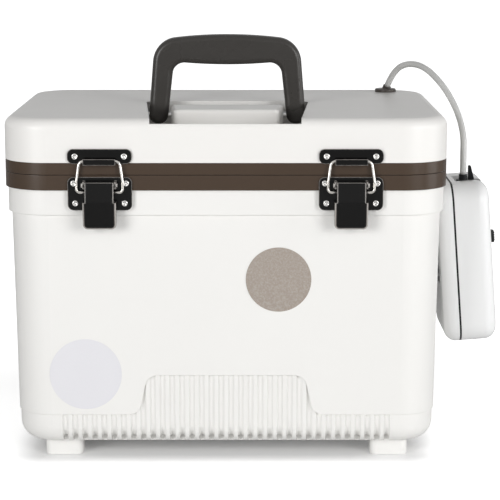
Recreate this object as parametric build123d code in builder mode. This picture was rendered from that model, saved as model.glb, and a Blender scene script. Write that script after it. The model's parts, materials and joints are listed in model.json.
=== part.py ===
"""Aerated bait bucket: an insulated tank with a hinged lid, two draw latches, a folding handle and a
battery air pump hung on its right end, with an air hose through the lid to an air stone.

Millimetres, +Z up. The origin is on the floor under the middle of the tank, and the front faces -Y.
"""
import os
from math import cos, pi, radians, sin, tan

from build123d import *

# ---- overall sizes
RIM_WIDTH = 350.0  # over the brown bands, along X
RIM_DEPTH = 248.0  # over the brown bands, along Y
RIM_CORNER = 36.0  # plan radius of the bands
FOOT_HEIGHT = 13.0
TANK_HEIGHT = 232.0  # floor to the top of the tank's rim
LID_HEIGHT = 43.6  # lid band's underside to the lid's top
LID_GAP = 0.4  # the lid's weight hangs on its gasket, so the bands stay this far apart

# ---- tank walls
SHELL_WALL = 2.5
LINER_WALL = 2.2
DRAFT = 0.85  # degrees, outside of the tank
LINER_DRAFT = 1.7  # degrees, inside of the tank
RIM_BAND_HEIGHT = 11.8
COLLAR_HEIGHT = 19.8  # white collar under the rim band
COLLAR_STEP = 2.0  # collar stands back from the rim band
BODY_STEP = 4.5  # body stands back from the rim band, at the collar's foot
BOTTOM_RADIUS = 15.0
CAVITY_BOTTOM_RADIUS = 20.0
LINER_INSET = 25.0  # inner face at the tank's floor, in from the rim band's face
LINER_CORNER = 22.0
LINER_BOTTOM_RADIUS = 12.0
FLOOR_THICKNESS = 15.0  # foot plane to the tank's inner floor
LINER_FLANGE = 5.0
FLANGE_THICKNESS = 2.5

# ---- feet and grooved skirt
FOOT_WIDTH = 30.0
FOOT_DEPTH = 24.0
FOOT_SPACING_X = 263.0
FOOT_SPACING_Y = 178.0
FOOT_CORNER = 5.0
SKIRT_HEIGHT = 25.0  # above the body's underside
SKIRT_INSET = 0.9
PANEL_HEIGHT = 57.5  # raised middle of the skirt, above the body's underside
PANEL_WIDTH = 125.0  # at its top
PANEL_FOOT_WIDTH = 139.0
FLUTE_PITCH = 7.8
FLUTE_COUNT = 34
FLUTE_RADIUS = 2.4
FLUTE_DEPTH = 1.7
PANEL_CORNER = 10.0

# ---- round blank labels on the front
LABEL_THICKNESS = 0.3
CAPACITY_LABEL_RADIUS = 28.7
CAPACITY_LABEL_X = -111.6
CAPACITY_LABEL_Z = 71.5
BADGE_LABEL_RADIUS = 25.8
BADGE_LABEL_X = 41.5
BADGE_LABEL_DROP = 51.9  # middle below the collar's foot

# ---- lid
LID_BAND_HEIGHT = 9.3
LID_WALL = 2.5
LID_EDGE_RADIUS = 8.5
LID_PANEL_THICKNESS = 2.5
LID_PANEL_REBATE = 3.0  # how far the inner panel laps over the lid band
LID_PANEL_RECESS = 3.6  # inner panel above the lid band's underside
GASKET_WIDTH = 5.0
GASKET_GROOVE = 3.0

# ---- handle and its recess
HANDLE_PIVOT_DROP = 10.0  # pivot below the lid's top
HANDLE_RISE = 67.3  # pivot to the top of the grip
HANDLE_BASE_WIDTH = 131.0  # at the pivot
HANDLE_TAPER = 5.0  # each side leans in by this from the pivot to where the crown's arc would meet it
HANDLE_CROWN_DROP = 5.0  # crown's arc, middle above ends
HANDLE_CROWN_RADIUS = 21.0  # its outer corners, seen from the front
HANDLE_HAND_RADIUS = 10.0  # and its inner ones
HANDLE_LEG = 16.0
HANDLE_THICKNESS = 15.0
HANDLE_GRIP_BOW = 2.4  # the grip's underside bows down in the middle
HANDLE_GRIP_DEPTH = 25.0
HANDLE_EDGE_RADIUS = 4.5
HANDLE_PIN_RADIUS = 2.5
RUNNING_CLEARANCE = 0.06
HANDLE_SIDE_GAP = 2.0
POCKET_BACK = 14.0  # recess behind the pivot
POCKET_UNDER = 2.5  # recess below the folded handle
POCKET_SIDE_GAP = 3.1
POCKET_TAPER = 7.0  # each side's lean inwards, from the pivot to the lid's front edge
POCKET_RAMP_START = -72.0
POCKET_FRONT_DROP = 3.6
ISLAND_BACK = 1.0
ISLAND_FRONT = -40.0
ISLAND_DROP = 1.5

# ---- draw latches
LATCH_X = 97.5
LATCH_PLATE = 50.0
LATCH_SHEET = 1.5
LATCH_CORNER = 4.5
KEEPER_HEIGHT = 11.5
LIP_WIDTH = 25.0
LIP_HEIGHT = 4.7
LIP_THICKNESS = 1.0
LIP_CHANNEL = 4.6  # between the keeper plate and its lip
CHANNEL_FLOOR = 1.2
BASE_HEIGHT = 26.0
BASE_TOP_DROP = 1.2  # below the tank's rim
LEVER_PIVOT_DROP = 7.0  # below the tank's rim
LEVER_PIVOT_OUT = 5.5  # in front of the band's face
LEVER_PIN_RADIUS = 1.2
EAR_THICKNESS = 1.4
EAR_RADIUS = 3.0
EAR_GAP = 0.35
BAIL_DROP = 5.7  # bail pivot below the lever's pivot
BAIL_SETBACK = 1.3  # and nearer the tank, so that the closed latch locks over centre
WIRE_RADIUS = 1.2
WIRE_GAP = 0.35  # bail bar to the keeper
BAIL_TOP_WIDTH = 27.6  # wire centre to wire centre
BAIL_FOOT_WIDTH = 34.8
LEVER_WIDTH = 26.1
LEVER_NECK_WIDTH = 22.3
LEVER_SHEET = 1.2
LEVER_LENGTH = 34.2  # pivot to the lever's free end
LEVER_NECK_LENGTH = 13.0
RIVET_RADIUS = 2.5
RIVET_HEAD = 1.1
RIVET_SHANK_RADIUS = 1.5
RIVET_SHANK = 3.0
BASE_RIVETS = ((19.1, 21.6), (20.3, 6.0))  # from the latch's middle, and below the tank's rim
KEEPER_RIVET_X = 19.1

# ---- rear hinges
HINGE_X = 92.0
HINGE_LENGTH = 50.0
HINGE_SHEET = 1.5
HINGE_LEAF = 22.6
HINGE_KNUCKLE_RADIUS = 3.0
HINGE_PIN_RADIUS = 1.5
HINGE_END_GAP = 0.4
HINGE_STANDOFF = 0.3  # knuckle to the back face

# ---- air pump
PUMP_WORKS_HEIGHT = 66.7  # room above the batteries, for the motor and the pump head
PUMP_CORNER = 16.0
PUMP_BACK_DEPTH = 13.1
PUMP_WALL = 2.0
PUMP_GASKET = 1.6
PUMP_EDGE_RADIUS = 10.0
PUMP_LEAN = 4.47  # degrees, foot outwards
PUMP_STANDOFF = 16.0  # parting plane's middle, out from the rim band's end face
PUMP_DROP = 55.4  # middle below the collar's foot
CLIP_WIDTH = 34.0
CLIP_LENGTH = 52.0
CLIP_SHEET = 2.1
CLIP_TOP_DROP = 17.2  # top of the clip below the case's top
CLIP_ROOT = 7.0
CLIP_POCKET_MARGIN = 3.0
TONGUE_SHEET = 2.0
TONGUE_GAP = 0.4
TONGUE_WIDTH = 26.0
BRACKET_WIDTH = 46.0
BRACKET_HEIGHT = 34.0
BRACKET_RISE = 10.7  # bracket's top above the tongue's foot
BRACKET_SHEET = 2.5
SWITCH_SLOT_LENGTH = 17.0
SWITCH_SLOT_WIDTH = 7.0
SWITCH_RISE = 15.0  # slot's middle above the pump's middle
SWITCH_TRAVEL = 6.0
KNOB_LENGTH = 10.6
KNOB_WIDTH = 6.4
KNOB_PROUD = 3.6
BATTERY_RADIUS = 17.0
BATTERY_LENGTH = 58.0
MOTOR_RADIUS = 10.5
MOTOR_LENGTH = 25.0

# ---- air line
HOSE_RADIUS = 2.7
NOZZLE_OUT = 8.2  # out from the case's parting plane, at the pump's middle
NOZZLE_RISE = 6.8  # above the flange's underside
GROMMET_INSET_X = 35.0  # in from the rim band's end and back faces
GROMMET_INSET_Y = 26.0
GROMMET_RADIUS = 9.3
GROMMET_NECK_RADIUS = 5.0
GROMMET_HEAD = 3.0
STONE_RADIUS = 7.0
STONE_LENGTH = 27.0

# ---- smaller latch, hinge and pump sizes
KEEPER_OVERLAP = 0.5
FOOT_EDGE_RADIUS = 1.0
ISLAND_EDGE_RADIUS = 3.0
POCKET_CORNER = 10.0
PIN_HEAD = 1.2
LEVER_TOP_RISE = 2.6
LEVER_BACK = 2.0
LEVER_TOP_BACK = 3.0
LEVER_LOWER_BACK = 5.5
LEVER_NECK_OUT = 9.6
LEVER_SHOULDER_OUT = 11.6
LEVER_FOOT_OUT = 9.4
LEVER_EDGE_RADIUS = 1.0  # down the neck's front corners
LEVER_CORNER = 4.0  # at the free end
LEVER_PILLOW = 2.4  # round the wide part's front face
SPACER_RADIUS = 2.1
SPACER_END_GAP = 0.3
BAIL_SHOULDER = 8.0
BAIL_END = 6.0
BAIL_BEND = 2.6
HINGE_LEAF_GAP = 3.4
HINGE_RIVET_X = 16.0
HINGE_RIVET_RISE = 17.0
BRACKET_SCREWS_Y = (-15.0, 15.0)
BRACKET_SCREW_DROP = 22.0  # below the bracket's top
CLIP_POCKET_DEPTH = 5.0
CLIP_POCKET_BELOW = 17.0
TONGUE_REACH = 12.0
CASE_SCREW_INSET = 11.0  # in from the case's side
CASE_SCREW_DROP = 12.2  # below the case's top
CASE_SCREW_RADIUS = 1.4
CASE_SCREW_SINK = 3.0
CASE_SCREW_HEAD = 2.0
SCREW_BOSS_RADIUS = 4.0
SCREW_BITE = 9.0
TROUGH_Y = -6.0
TROUGH_RISE = 5.0
TROUGH_RADIUS = 16.0
TROUGH_LOW = 4.5
NOZZLE_RADIUS = 3.6
NOZZLE_STEM_RADIUS = 2.3
AIR_BORE_RADIUS = 1.2
FITTING_HEIGHT = 9.8  # from the fitting's foot up to its flange
FITTING_WIDTH = 11.0
FITTING_DEPTH = 12.0
FLANGE_DROP = 3.4  # below the case's top
FLANGE_SHEET = 2.0
FLANGE_START = 3.0  # out from the parting plane
FLANGE_REACH = 22.7
FIN_OUT = 12.3
FIN_SHEET = 3.0
FIN_RISE = 14.2
FIN_CROWN = 2.2
KNOB_GAP = 0.25
SWITCH_BLOCK_DEPTH = 6.0
SWITCH_BLOCK_MARGIN = 3.0
BATTERY_PARTING = 0.4  # from the pump's middle to each battery
BATTERY_BACK_GAP = 0.2  # room round the batteries, inside the case's walls
BATTERY_FRONT_GAP = 0.4
BATTERY_SIDE_GAP = 5.6
BATTERY_MARGIN = 8.2  # below the batteries, to the outside of the case
BATTERY_CAP = 1.5
CONTACT_SHEET = 0.6
MOTOR_Y = -34.0
CAM_DROP = 40.2  # below the case's top
CAM_STAND = 19.3  # motor's middle in front of the chassis' back
CAM_Y = -6.0
CAM_RADIUS = 5.5
CAM_THICKNESS = 3.0
CAM_THROW = 3.0
CRANK_PIN_RADIUS = 1.2
SHAFT_RADIUS = 1.0
SHAFT_START = -16.0
YOKE_RADIUS = 6.6
YOKE_SHEET = 3.0
YOKE_STEM = 4.5
YOKE_STEM_RADIUS = 1.2
HEAD_RADIUS = 10.5
HEAD_HEIGHT = 7.5
DIAPHRAGM_SHEET = 1.6
CHASSIS_SHEET = 1.6
CHASSIS_LOW_Y = -36.0
CHASSIS_HIGH_Y = 20.0
CHASSIS_BELOW = 11.0  # reach below and above the motor's middle
CHASSIS_ABOVE = 21.0
SPIGOT_RADIUS = 3.6
SPIGOT_LENGTH = 4.6
SPIGOT_DIRECTION = (0.3224, -0.2687, 0.9076)

# ---- hose routes, as points chosen along each run
OUTER_HOSE = [
    (199.2, 0.0, 215.6),
    (199.2, 0.0, 231.5),
    (199.6, 4.0, 249.0),
    (195.0, 14.5, 268.0),
    (184.5, 33.0, 288.0),
    (170.0, 61.0, 302.5),
    (155.0, 83.0, 302.5),
    (145.4, 93.5, 292.2),
    (141.48, 96.76, 281.18),
]
INNER_HOSE = [
    (140.0, 98.0, 232.4),
    (140.0, 98.0, 212.0),
    (138.0, 94.5, 191.0),
    (135.0, 89.5, 167.0),
    (131.5, 83.0, 142.0),
    (126.5, 74.5, 118.0),
    (119.5, 64.0, 95.0),
    (110.0, 52.0, 73.5),
    (96.5, 40.0, 55.0),
    (79.0, 29.5, 42.5),
    (59.0, 22.0, 36.0),
    (40.0, 18.0, 35.6),
]

# ---- heights and half sizes that follow
HANDLE_BASE = HANDLE_BASE_WIDTH / 2
HANDLE_TOP = HANDLE_BASE - HANDLE_TAPER
SEAM = TANK_HEIGHT + LID_GAP
LID_TOP = SEAM + LID_HEIGHT
LID_SHELL_FOOT = SEAM + LID_BAND_HEIGHT
RIM_FOOT = TANK_HEIGHT - RIM_BAND_HEIGHT
COLLAR_FOOT = RIM_FOOT - COLLAR_HEIGHT
BADGE_LABEL_Z = COLLAR_FOOT - BADGE_LABEL_DROP
BASE_TOP = TANK_HEIGHT - BASE_TOP_DROP
LEVER_PIVOT_Z = TANK_HEIGHT - LEVER_PIVOT_DROP
FACE_Y = -RIM_DEPTH / 2
BACK_Y = RIM_DEPTH / 2
BODY_HEIGHT = COLLAR_FOOT - FOOT_HEIGHT
BODY_SHRINK = BODY_HEIGHT * tan(radians(DRAFT))
BODY_WIDTH = RIM_WIDTH - 2 * (BODY_STEP + BODY_SHRINK)  # at the body's underside
BODY_DEPTH = RIM_DEPTH - 2 * (BODY_STEP + BODY_SHRINK)
BODY_CORNER = RIM_CORNER - BODY_STEP - BODY_SHRINK
FLOOR_Z = FOOT_HEIGHT + FLOOR_THICKNESS
LINER_WIDTH = RIM_WIDTH - 2 * LINER_INSET
LINER_DEPTH = RIM_DEPTH - 2 * LINER_INSET
LINER_TOP_CORNER = LINER_CORNER + (TANK_HEIGHT - FLOOR_Z) * tan(radians(LINER_DRAFT))
PIVOT_Z = LID_TOP - HANDLE_PIVOT_DROP
LINER_TOP_WIDTH = LINER_WIDTH + 2 * (TANK_HEIGHT - FLOOR_Z) * tan(radians(LINER_DRAFT))
LINER_TOP_DEPTH = LINER_DEPTH + 2 * (TANK_HEIGHT - FLOOR_Z) * tan(radians(LINER_DRAFT))

POCKET_FRONT = HANDLE_BASE - POCKET_TAPER
GROMMET_X = RIM_WIDTH / 2 - GROMMET_INSET_X
GROMMET_Y = RIM_DEPTH / 2 - GROMMET_INSET_Y

# ---- pump sizes that follow; V runs up the leaning case from its middle, N out from its parting plane
CHASSIS_N = CLIP_POCKET_DEPTH + PUMP_WALL - PUMP_BACK_DEPTH
BATTERY_N = CHASSIS_N + BATTERY_BACK_GAP + BATTERY_RADIUS
BATTERY_Y = BATTERY_RADIUS + BATTERY_PARTING
CAM_N = CHASSIS_N + CAM_STAND
PUMP_FRONT_DEPTH = BATTERY_N + BATTERY_RADIUS + BATTERY_FRONT_GAP + PUMP_WALL
PUMP_WIDTH = 2 * (BATTERY_Y + BATTERY_RADIUS + BATTERY_SIDE_GAP + PUMP_WALL)
PUMP_HEIGHT = BATTERY_MARGIN + BATTERY_LENGTH + BATTERY_CAP + PUMP_WORKS_HEIGHT
PUMP_TOP_V = PUMP_HEIGHT / 2
BATTERY_FOOT_V = BATTERY_MARGIN - PUMP_TOP_V
CAM_V = PUMP_TOP_V - CAM_DROP
CASE_SCREW_V = PUMP_TOP_V - CASE_SCREW_DROP
CASE_SCREW_Y = PUMP_WIDTH / 2 - CASE_SCREW_INSET
CLIP_TOP = PUMP_TOP_V - CLIP_TOP_DROP
CHASSIS_LOW_V = CAM_V - CHASSIS_BELOW
CHASSIS_HIGH_V = CAM_V + CHASSIS_ABOVE
PUMP_CENTRE_X = RIM_WIDTH / 2 + PUMP_STANDOFF
PUMP_CENTRE_Z = COLLAR_FOOT - PUMP_DROP
FLANGE_Z = PUMP_CENTRE_Z + PUMP_TOP_V - FLANGE_DROP
FITTING_FOOT_Z = FLANGE_Z - FITTING_HEIGHT
FLANGE_LOW_X = PUMP_CENTRE_X + FLANGE_START
FLANGE_HIGH_X = PUMP_CENTRE_X + FLANGE_REACH
FIN_X = PUMP_CENTRE_X + FIN_OUT
FIN_TOP_Z = FLANGE_Z + FIN_RISE
NOZZLE_FOOT = (PUMP_CENTRE_X + NOZZLE_OUT, 0.0, FITTING_FOOT_Z)
NOZZLE_TOP = (PUMP_CENTRE_X + NOZZLE_OUT, 0.0, FLANGE_Z + NOZZLE_RISE)

# ---- planes of the leaning and drafted faces
FRONT_WALL = Plane(
    origin=(0, FACE_Y + BODY_STEP, COLLAR_FOOT),
    x_dir=(1, 0, 0),
    z_dir=(0, -cos(radians(DRAFT)), -sin(radians(DRAFT))),
)
RIGHT_WALL = Plane(
    origin=(RIM_WIDTH / 2 - BODY_STEP, 0, COLLAR_FOOT),
    x_dir=(0, 1, 0),
    z_dir=(cos(radians(DRAFT)), 0, -sin(radians(DRAFT))),
)
PUMP = Plane(
    origin=(PUMP_CENTRE_X, 0, PUMP_CENTRE_Z),
    x_dir=(0, 1, 0),
    z_dir=(cos(radians(PUMP_LEAN)), 0, sin(radians(PUMP_LEAN))),
)
TONGUE_BACK = -PUMP_BACK_DEPTH + CLIP_SHEET + TONGUE_GAP
TONGUE_LOW = CLIP_TOP - CLIP_LENGTH - TONGUE_REACH
TONGUE_FOOT = PUMP.from_local_coords((0, TONGUE_LOW, TONGUE_BACK + TONGUE_SHEET / 2))
BRACKET_TOP_Z = TONGUE_FOOT.Z + BRACKET_RISE
BRACKET_SCREW_Z = BRACKET_TOP_Z - BRACKET_SCREW_DROP
SIDE = Plane.YZ
LATCHES = {"left": -LATCH_X, "right": LATCH_X}

os.makedirs("parts", exist_ok=True)


def save(part, label):
    """Name a finished piece and write it."""
    part.label = label
    export_step(part, f"parts/{label}.step")


def drafted_block(width, depth, corner, low, high, draft, edge):
    """A block with rounded corners that widens upwards by the draft, its lower edge rounded."""
    with BuildPart() as block:
        with BuildSketch(Plane.XY.offset(low)):
            RectangleRounded(width, depth, corner)
        extrude(amount=high - low, taper=-draft)
        if edge > 0:
            fillet(block.faces().sort_by(Axis.Z)[0].edges(), edge)
    return block.part


def plain_block(width, depth, corner, low, high):
    """A straight block with rounded corners between two heights."""
    with BuildPart() as block:
        with BuildSketch(Plane.XY.offset(low)):
            RectangleRounded(width, depth, corner)
        extrude(amount=high - low)
    return block.part


def cylinder(radius, start, direction, length):
    """A cylinder from a point along a direction."""
    with BuildPart() as rod:
        with BuildSketch(Plane(origin=start, z_dir=direction)):
            Circle(radius)
        extrude(amount=length)
    return rod.part


def along_x(outline, low, high, edge=0.0):
    """A prism between two X places whose outline is a list of (y, z) corners."""
    with BuildPart() as prism:
        with BuildSketch(SIDE.offset(low)):
            with BuildLine():
                Polyline(*outline, close=True)
            make_face()
        extrude(amount=high - low)
        if edge > 0:
            fillet(prism.edges().filter_by(Axis.X), edge)
    return prism.part


def rivet(point, outward, head_radius=RIVET_RADIUS, head=RIVET_HEAD, shank=RIVET_SHANK):
    """A domed rivet whose head seats at the point, its shank running back into the wall."""
    with BuildPart() as pin:
        with BuildSketch(Plane(origin=point, z_dir=outward)):
            Circle(head_radius)
        extrude(amount=head)
        fillet(pin.faces().sort_by(Axis(point, outward))[-1].edges(), head * 0.8)
        with BuildSketch(Plane(origin=point, z_dir=outward)):
            Circle(RIVET_SHANK_RADIUS)
        extrude(amount=-shank)
    return pin.part


# ---- tank shell
def skirt_zone():
    """Everything below the skirt's outline: a level band with a raised middle at the front."""
    skirt_z = FOOT_HEIGHT + SKIRT_HEIGHT
    panel_z = FOOT_HEIGHT + PANEL_HEIGHT
    with BuildPart() as zone:
        with BuildSketch(Plane.XZ) as outline:
            with BuildLine():
                Polyline(
                    (-RIM_WIDTH, 0),
                    (-RIM_WIDTH, skirt_z),
                    (-PANEL_FOOT_WIDTH / 2, skirt_z),
                    (-PANEL_WIDTH / 2, panel_z),
                    (PANEL_WIDTH / 2, panel_z),
                    (PANEL_FOOT_WIDTH / 2, skirt_z),
                    (RIM_WIDTH, skirt_z),
                    (RIM_WIDTH, 0),
                    close=True,
                )
            make_face()
            inner = outline.vertices().filter_by(lambda v: abs(v.X) < PANEL_FOOT_WIDTH)
            fillet(inner, PANEL_CORNER)
        extrude(amount=RIM_DEPTH)
        with BuildSketch(Plane.XY):
            Rectangle(RIM_WIDTH * 2, RIM_DEPTH * 2)
        extrude(amount=skirt_z)
    return zone.part


def flute_cutters():
    """Round-bottomed grooves down the front wall, turning under along the bottom's curve."""
    top_z = FOOT_HEIGHT + PANEL_HEIGHT + 4
    out = FLUTE_RADIUS - FLUTE_DEPTH
    turn = BOTTOM_RADIUS - 1
    wall_y = SKIRT_INSET - BODY_DEPTH / 2
    bend_z = FOOT_HEIGHT + BOTTOM_RADIUS + 1.5
    lean = tan(radians(DRAFT))

    def line_y(z):
        return wall_y - out - (z - FOOT_HEIGHT) * lean

    with BuildPart() as flute:
        with BuildLine() as path:
            wall_line = Line((0, line_y(top_z), top_z), (0, line_y(bend_z), bend_z))
            centre = (line_y(bend_z) + turn, bend_z)
            end = (0, centre[0] - turn * cos(radians(72)), centre[1] - turn * sin(radians(72)))
            TangentArc(wall_line @ 1, end, tangent=wall_line % 1)
        with BuildSketch(Plane(origin=path.line @ 0, z_dir=path.line % 0)):
            Circle(FLUTE_RADIUS)
        sweep(path=path.line)
    with BuildPart() as flutes:
        start = -(FLUTE_COUNT - 1) / 2 * FLUTE_PITCH
        with Locations(*[(start + i * FLUTE_PITCH, 0, 0) for i in range(FLUTE_COUNT)]):
            add(flute.part)
        add(skirt_zone(), mode=Mode.INTERSECT)
    return flutes.part


def pad(x, low, back):
    """A flat pad that brings the collar out flush with the rim band behind a fitting."""
    sign = 1 if back else -1
    face = BACK_Y if back else FACE_Y
    inner = face - sign * (COLLAR_STEP + SHELL_WALL / 2)
    return along_x(
        [(face, low), (face, RIM_FOOT), (inner, RIM_FOOT), (inner, low)],
        x - LATCH_PLATE / 2 + 1,
        x + LATCH_PLATE / 2 - 1,
    )


# ---- latch, hinge and hole places that follow
BASE_FOOT = BASE_TOP - BASE_HEIGHT
KEEPER_FOOT = LID_SHELL_FOOT - KEEPER_OVERLAP
LIP_FOOT = KEEPER_FOOT - KEEPER_OVERLAP
PIVOT_Y = FACE_Y - LEVER_PIVOT_OUT
BAIL_Y = PIVOT_Y + BAIL_SETBACK
BAIL_Z = LEVER_PIVOT_Z - BAIL_DROP
BAR_Y = FACE_Y - LATCH_SHEET - WIRE_GAP - WIRE_RADIUS
BAR_Z = LIP_FOOT + CHANNEL_FLOOR + WIRE_GAP + WIRE_RADIUS
LIP_BACK_Y = FACE_Y - LATCH_SHEET - LIP_CHANNEL
HINGES = (-HINGE_X, HINGE_X)
HINGE_Y = BACK_Y + HINGE_STANDOFF + HINGE_KNUCKLE_RADIUS
HINGE_Z = (TANK_HEIGHT + SEAM) / 2
LINER_FLANGE_FOOT = RIM_FOOT - FLANGE_THICKNESS
PANEL_FOOT = SEAM + LID_PANEL_RECESS
PANEL_TOP = PANEL_FOOT + LID_PANEL_THICKNESS
LID_OPENING = (LINER_WIDTH, LINER_DEPTH, LINER_CORNER)

FRONT, BACK = (0, -1, 0), (0, 1, 0)
BASE_RIVET_POINTS = [
    ((x + side * rivet_x, FACE_Y - LATCH_SHEET, TANK_HEIGHT - drop), FRONT)
    for x in LATCHES.values()
    for rivet_x, drop in BASE_RIVETS
    for side in (-1, 1)
]
KEEPER_RIVET_POINTS = [
    ((x + side * KEEPER_RIVET_X, FACE_Y - LATCH_SHEET, KEEPER_FOOT + KEEPER_HEIGHT / 2), FRONT)
    for x in LATCHES.values()
    for side in (-1, 1)
]
HINGE_TANK_RIVET_POINTS = [
    ((x + side * HINGE_RIVET_X, BACK_Y + HINGE_SHEET, HINGE_Z - HINGE_RIVET_RISE), BACK)
    for x in HINGES
    for side in (-1, 1)
]
HINGE_LID_RIVET_POINTS = [
    ((x + side * HINGE_RIVET_X, BACK_Y + HINGE_SHEET, HINGE_Z + HINGE_RIVET_RISE), BACK)
    for x in HINGES
    for side in (-1, 1)
]
TANK_RIVETS = BASE_RIVET_POINTS + HINGE_TANK_RIVET_POINTS
LID_RIVETS = KEEPER_RIVET_POINTS + HINGE_LID_RIVET_POINTS


def shank(point, outward):
    """The stem of a rivet, from the seat of its head back into the wall."""
    return cylinder(RIVET_SHANK_RADIUS, point, tuple(-c for c in outward), RIVET_SHANK)


def lever_pin(x):
    """The pin through a latch base's ears."""
    half = LEVER_NECK_WIDTH / 2 + EAR_GAP + EAR_THICKNESS
    return cylinder(LEVER_PIN_RADIUS, (x - half, PIVOT_Y, LEVER_PIVOT_Z), (1, 0, 0), 2 * half)


def handle_pin(side):
    """A handle pivot pin, from the middle block across the recess into its side wall."""
    start = side * (HANDLE_BASE - HANDLE_LEG - HANDLE_SIDE_GAP - LID_WALL)
    length = HANDLE_LEG + HANDLE_SIDE_GAP + POCKET_SIDE_GAP + 2 * LID_WALL
    return cylinder(HANDLE_PIN_RADIUS, (start, 0, PIVOT_Z), (side, 0, 0), length)


def handle_pocket(margin):
    """The recess that the handle folds forward into, grown by a margin for its walls."""
    floor_z = PIVOT_Z - HANDLE_THICKNESS / 2 - POCKET_UNDER - margin
    front_z = LID_TOP - POCKET_FRONT_DROP - margin
    back = POCKET_BACK + margin
    half = HANDLE_BASE + POCKET_SIDE_GAP + margin
    front_half = POCKET_FRONT + margin
    top_z = LID_TOP + 1
    beyond = FACE_Y - 1
    with BuildPart() as pocket:
        with BuildSketch(Plane.XY.offset(floor_z)) as outline:
            with BuildLine():
                Polyline(
                    (-half, back), (half, back), (front_half, beyond), (-front_half, beyond), close=True
                )
            make_face()
            fillet(outline.vertices().sort_by(Axis.Y)[-2:], POCKET_CORNER)
        extrude(amount=top_z - floor_z)
        add(
            along_x(
                [
                    (back + 1, top_z),
                    (back + 1, floor_z),
                    (POCKET_RAMP_START - margin, floor_z),
                    (FACE_Y, front_z),
                    (beyond, front_z),
                    (beyond, top_z),
                ],
                -RIM_WIDTH / 2,
                RIM_WIDTH / 2,
            ),
            mode=Mode.INTERSECT,
        )
        add(island_block(margin, floor_z - 1), mode=Mode.SUBTRACT)
    return pocket.part


def island_block(margin, foot_z):
    """The block that stands between the folded handle's legs, its sides leaning as theirs do."""
    lean = HANDLE_TAPER / (HANDLE_RISE - HANDLE_GRIP_DEPTH + HANDLE_GRIP_BOW)
    half = HANDLE_BASE - HANDLE_LEG - HANDLE_SIDE_GAP - margin
    back, front = ISLAND_BACK - margin, ISLAND_FRONT + margin
    front_half = half + front * lean
    with BuildPart() as island:
        with BuildSketch(Plane.XY.offset(foot_z)) as outline:
            with BuildLine():
                Polyline((-half, back), (half, back), (front_half, front), (-front_half, front), close=True)
            make_face()
            fillet(outline.vertices(), ISLAND_EDGE_RADIUS + 1)
        extrude(amount=LID_TOP - ISLAND_DROP - margin - foot_z)
        fillet(island.faces().sort_by(Axis.Z)[-1].edges(), ISLAND_EDGE_RADIUS)
    return island.part


def lever_prism(x, half, inset, neck):
    """A lever's side outline carried across its width; the inset leaves the sheet's thickness."""
    top_z = LEVER_PIVOT_Z + LEVER_TOP_RISE
    shoulder_z = LEVER_PIVOT_Z - LEVER_NECK_LENGTH
    foot_z = LEVER_PIVOT_Z - LEVER_LENGTH
    back_y = FACE_Y - LEVER_BACK
    top_back_y = FACE_Y - LEVER_TOP_BACK
    lower_back_y = FACE_Y - LEVER_LOWER_BACK
    neck_y = FACE_Y - LEVER_NECK_OUT + inset
    shoulder_y = FACE_Y - LEVER_SHOULDER_OUT + inset
    foot_y = FACE_Y - LEVER_FOOT_OUT + inset
    if neck and inset:
        outline = [
            (FACE_Y, top_z - inset),
            (neck_y, top_z - inset),
            (shoulder_y, shoulder_z - 2 * inset),
            (FACE_Y, shoulder_z - 2 * inset),
        ]
    elif neck:
        outline = [
            (top_back_y, top_z),
            (neck_y, top_z),
            (shoulder_y, shoulder_z),
            (back_y, shoulder_z),
            (back_y, LEVER_PIVOT_Z - LEVER_TOP_RISE),
            (top_back_y, LEVER_PIVOT_Z),
        ]
    elif inset:
        outline = [
            (FACE_Y, shoulder_z - inset),
            (shoulder_y, shoulder_z - inset),
            (foot_y, foot_z + inset),
            (FACE_Y, foot_z + inset),
        ]
    else:
        outline = [
            (back_y, shoulder_z),
            (shoulder_y, shoulder_z),
            (foot_y, foot_z),
            (lower_back_y, foot_z),
        ]
    return along_x(outline, x - half, x + half)


def lever_paddle(x, inset):
    """A lever's wide lower part with its rounded free end and pillowed front edges."""
    foot_z = LEVER_PIVOT_Z - LEVER_LENGTH + inset
    with BuildPart() as paddle:
        add(lever_prism(x, LEVER_WIDTH / 2 - inset, inset, neck=False))
        corners = paddle.edges().filter_by(Axis.Y).filter_by(lambda edge: edge.center().Z < foot_z + 0.1)
        fillet(corners, LEVER_CORNER - inset)
        front = paddle.faces().sort_by(Axis.Y)[0]
        shoulder = front.edges().sort_by(Axis.Z)[-1]
        fillet([edge for edge in front.edges() if edge != shoulder], LEVER_PILLOW - inset)
    return paddle.part


def lever_front_edge(edge):
    """Whether an edge runs down one of a lever's front corners or round its free end."""
    middle = edge.center()
    return middle.Y < FACE_Y - LEVER_FOOT_OUT + 0.01 and abs(edge.tangent_at(0.5).X) < 0.1


def hinge_leaf(x, side):
    """One leaf of a rear hinge, below the pin for side -1 and above it for side 1."""
    near = HINGE_Z + side * HINGE_LEAF_GAP
    far = near + side * HINGE_LEAF
    with BuildPart() as leaf:
        with BuildSketch(Plane.XZ.offset(-BACK_Y)):
            with Locations((x, (near + far) / 2)):
                Rectangle(HINGE_LENGTH, HINGE_LEAF)
        extrude(amount=-HINGE_SHEET)
    return leaf.part


def hinge_knuckle(x, length, side):
    """A knuckle round the hinge pin, with the web that joins it to its leaf."""
    with BuildPart() as knuckle:
        with BuildSketch(SIDE.offset(x)):
            with Locations((HINGE_Y, HINGE_Z)):
                Circle(HINGE_KNUCKLE_RADIUS)
            with Locations((BACK_Y + HINGE_SHEET / 2, HINGE_Z + side * HINGE_LEAF_GAP / 2)):
                Rectangle(HINGE_SHEET, HINGE_LEAF_GAP)
        extrude(amount=length / 2, both=True)
    return knuckle.part


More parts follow.
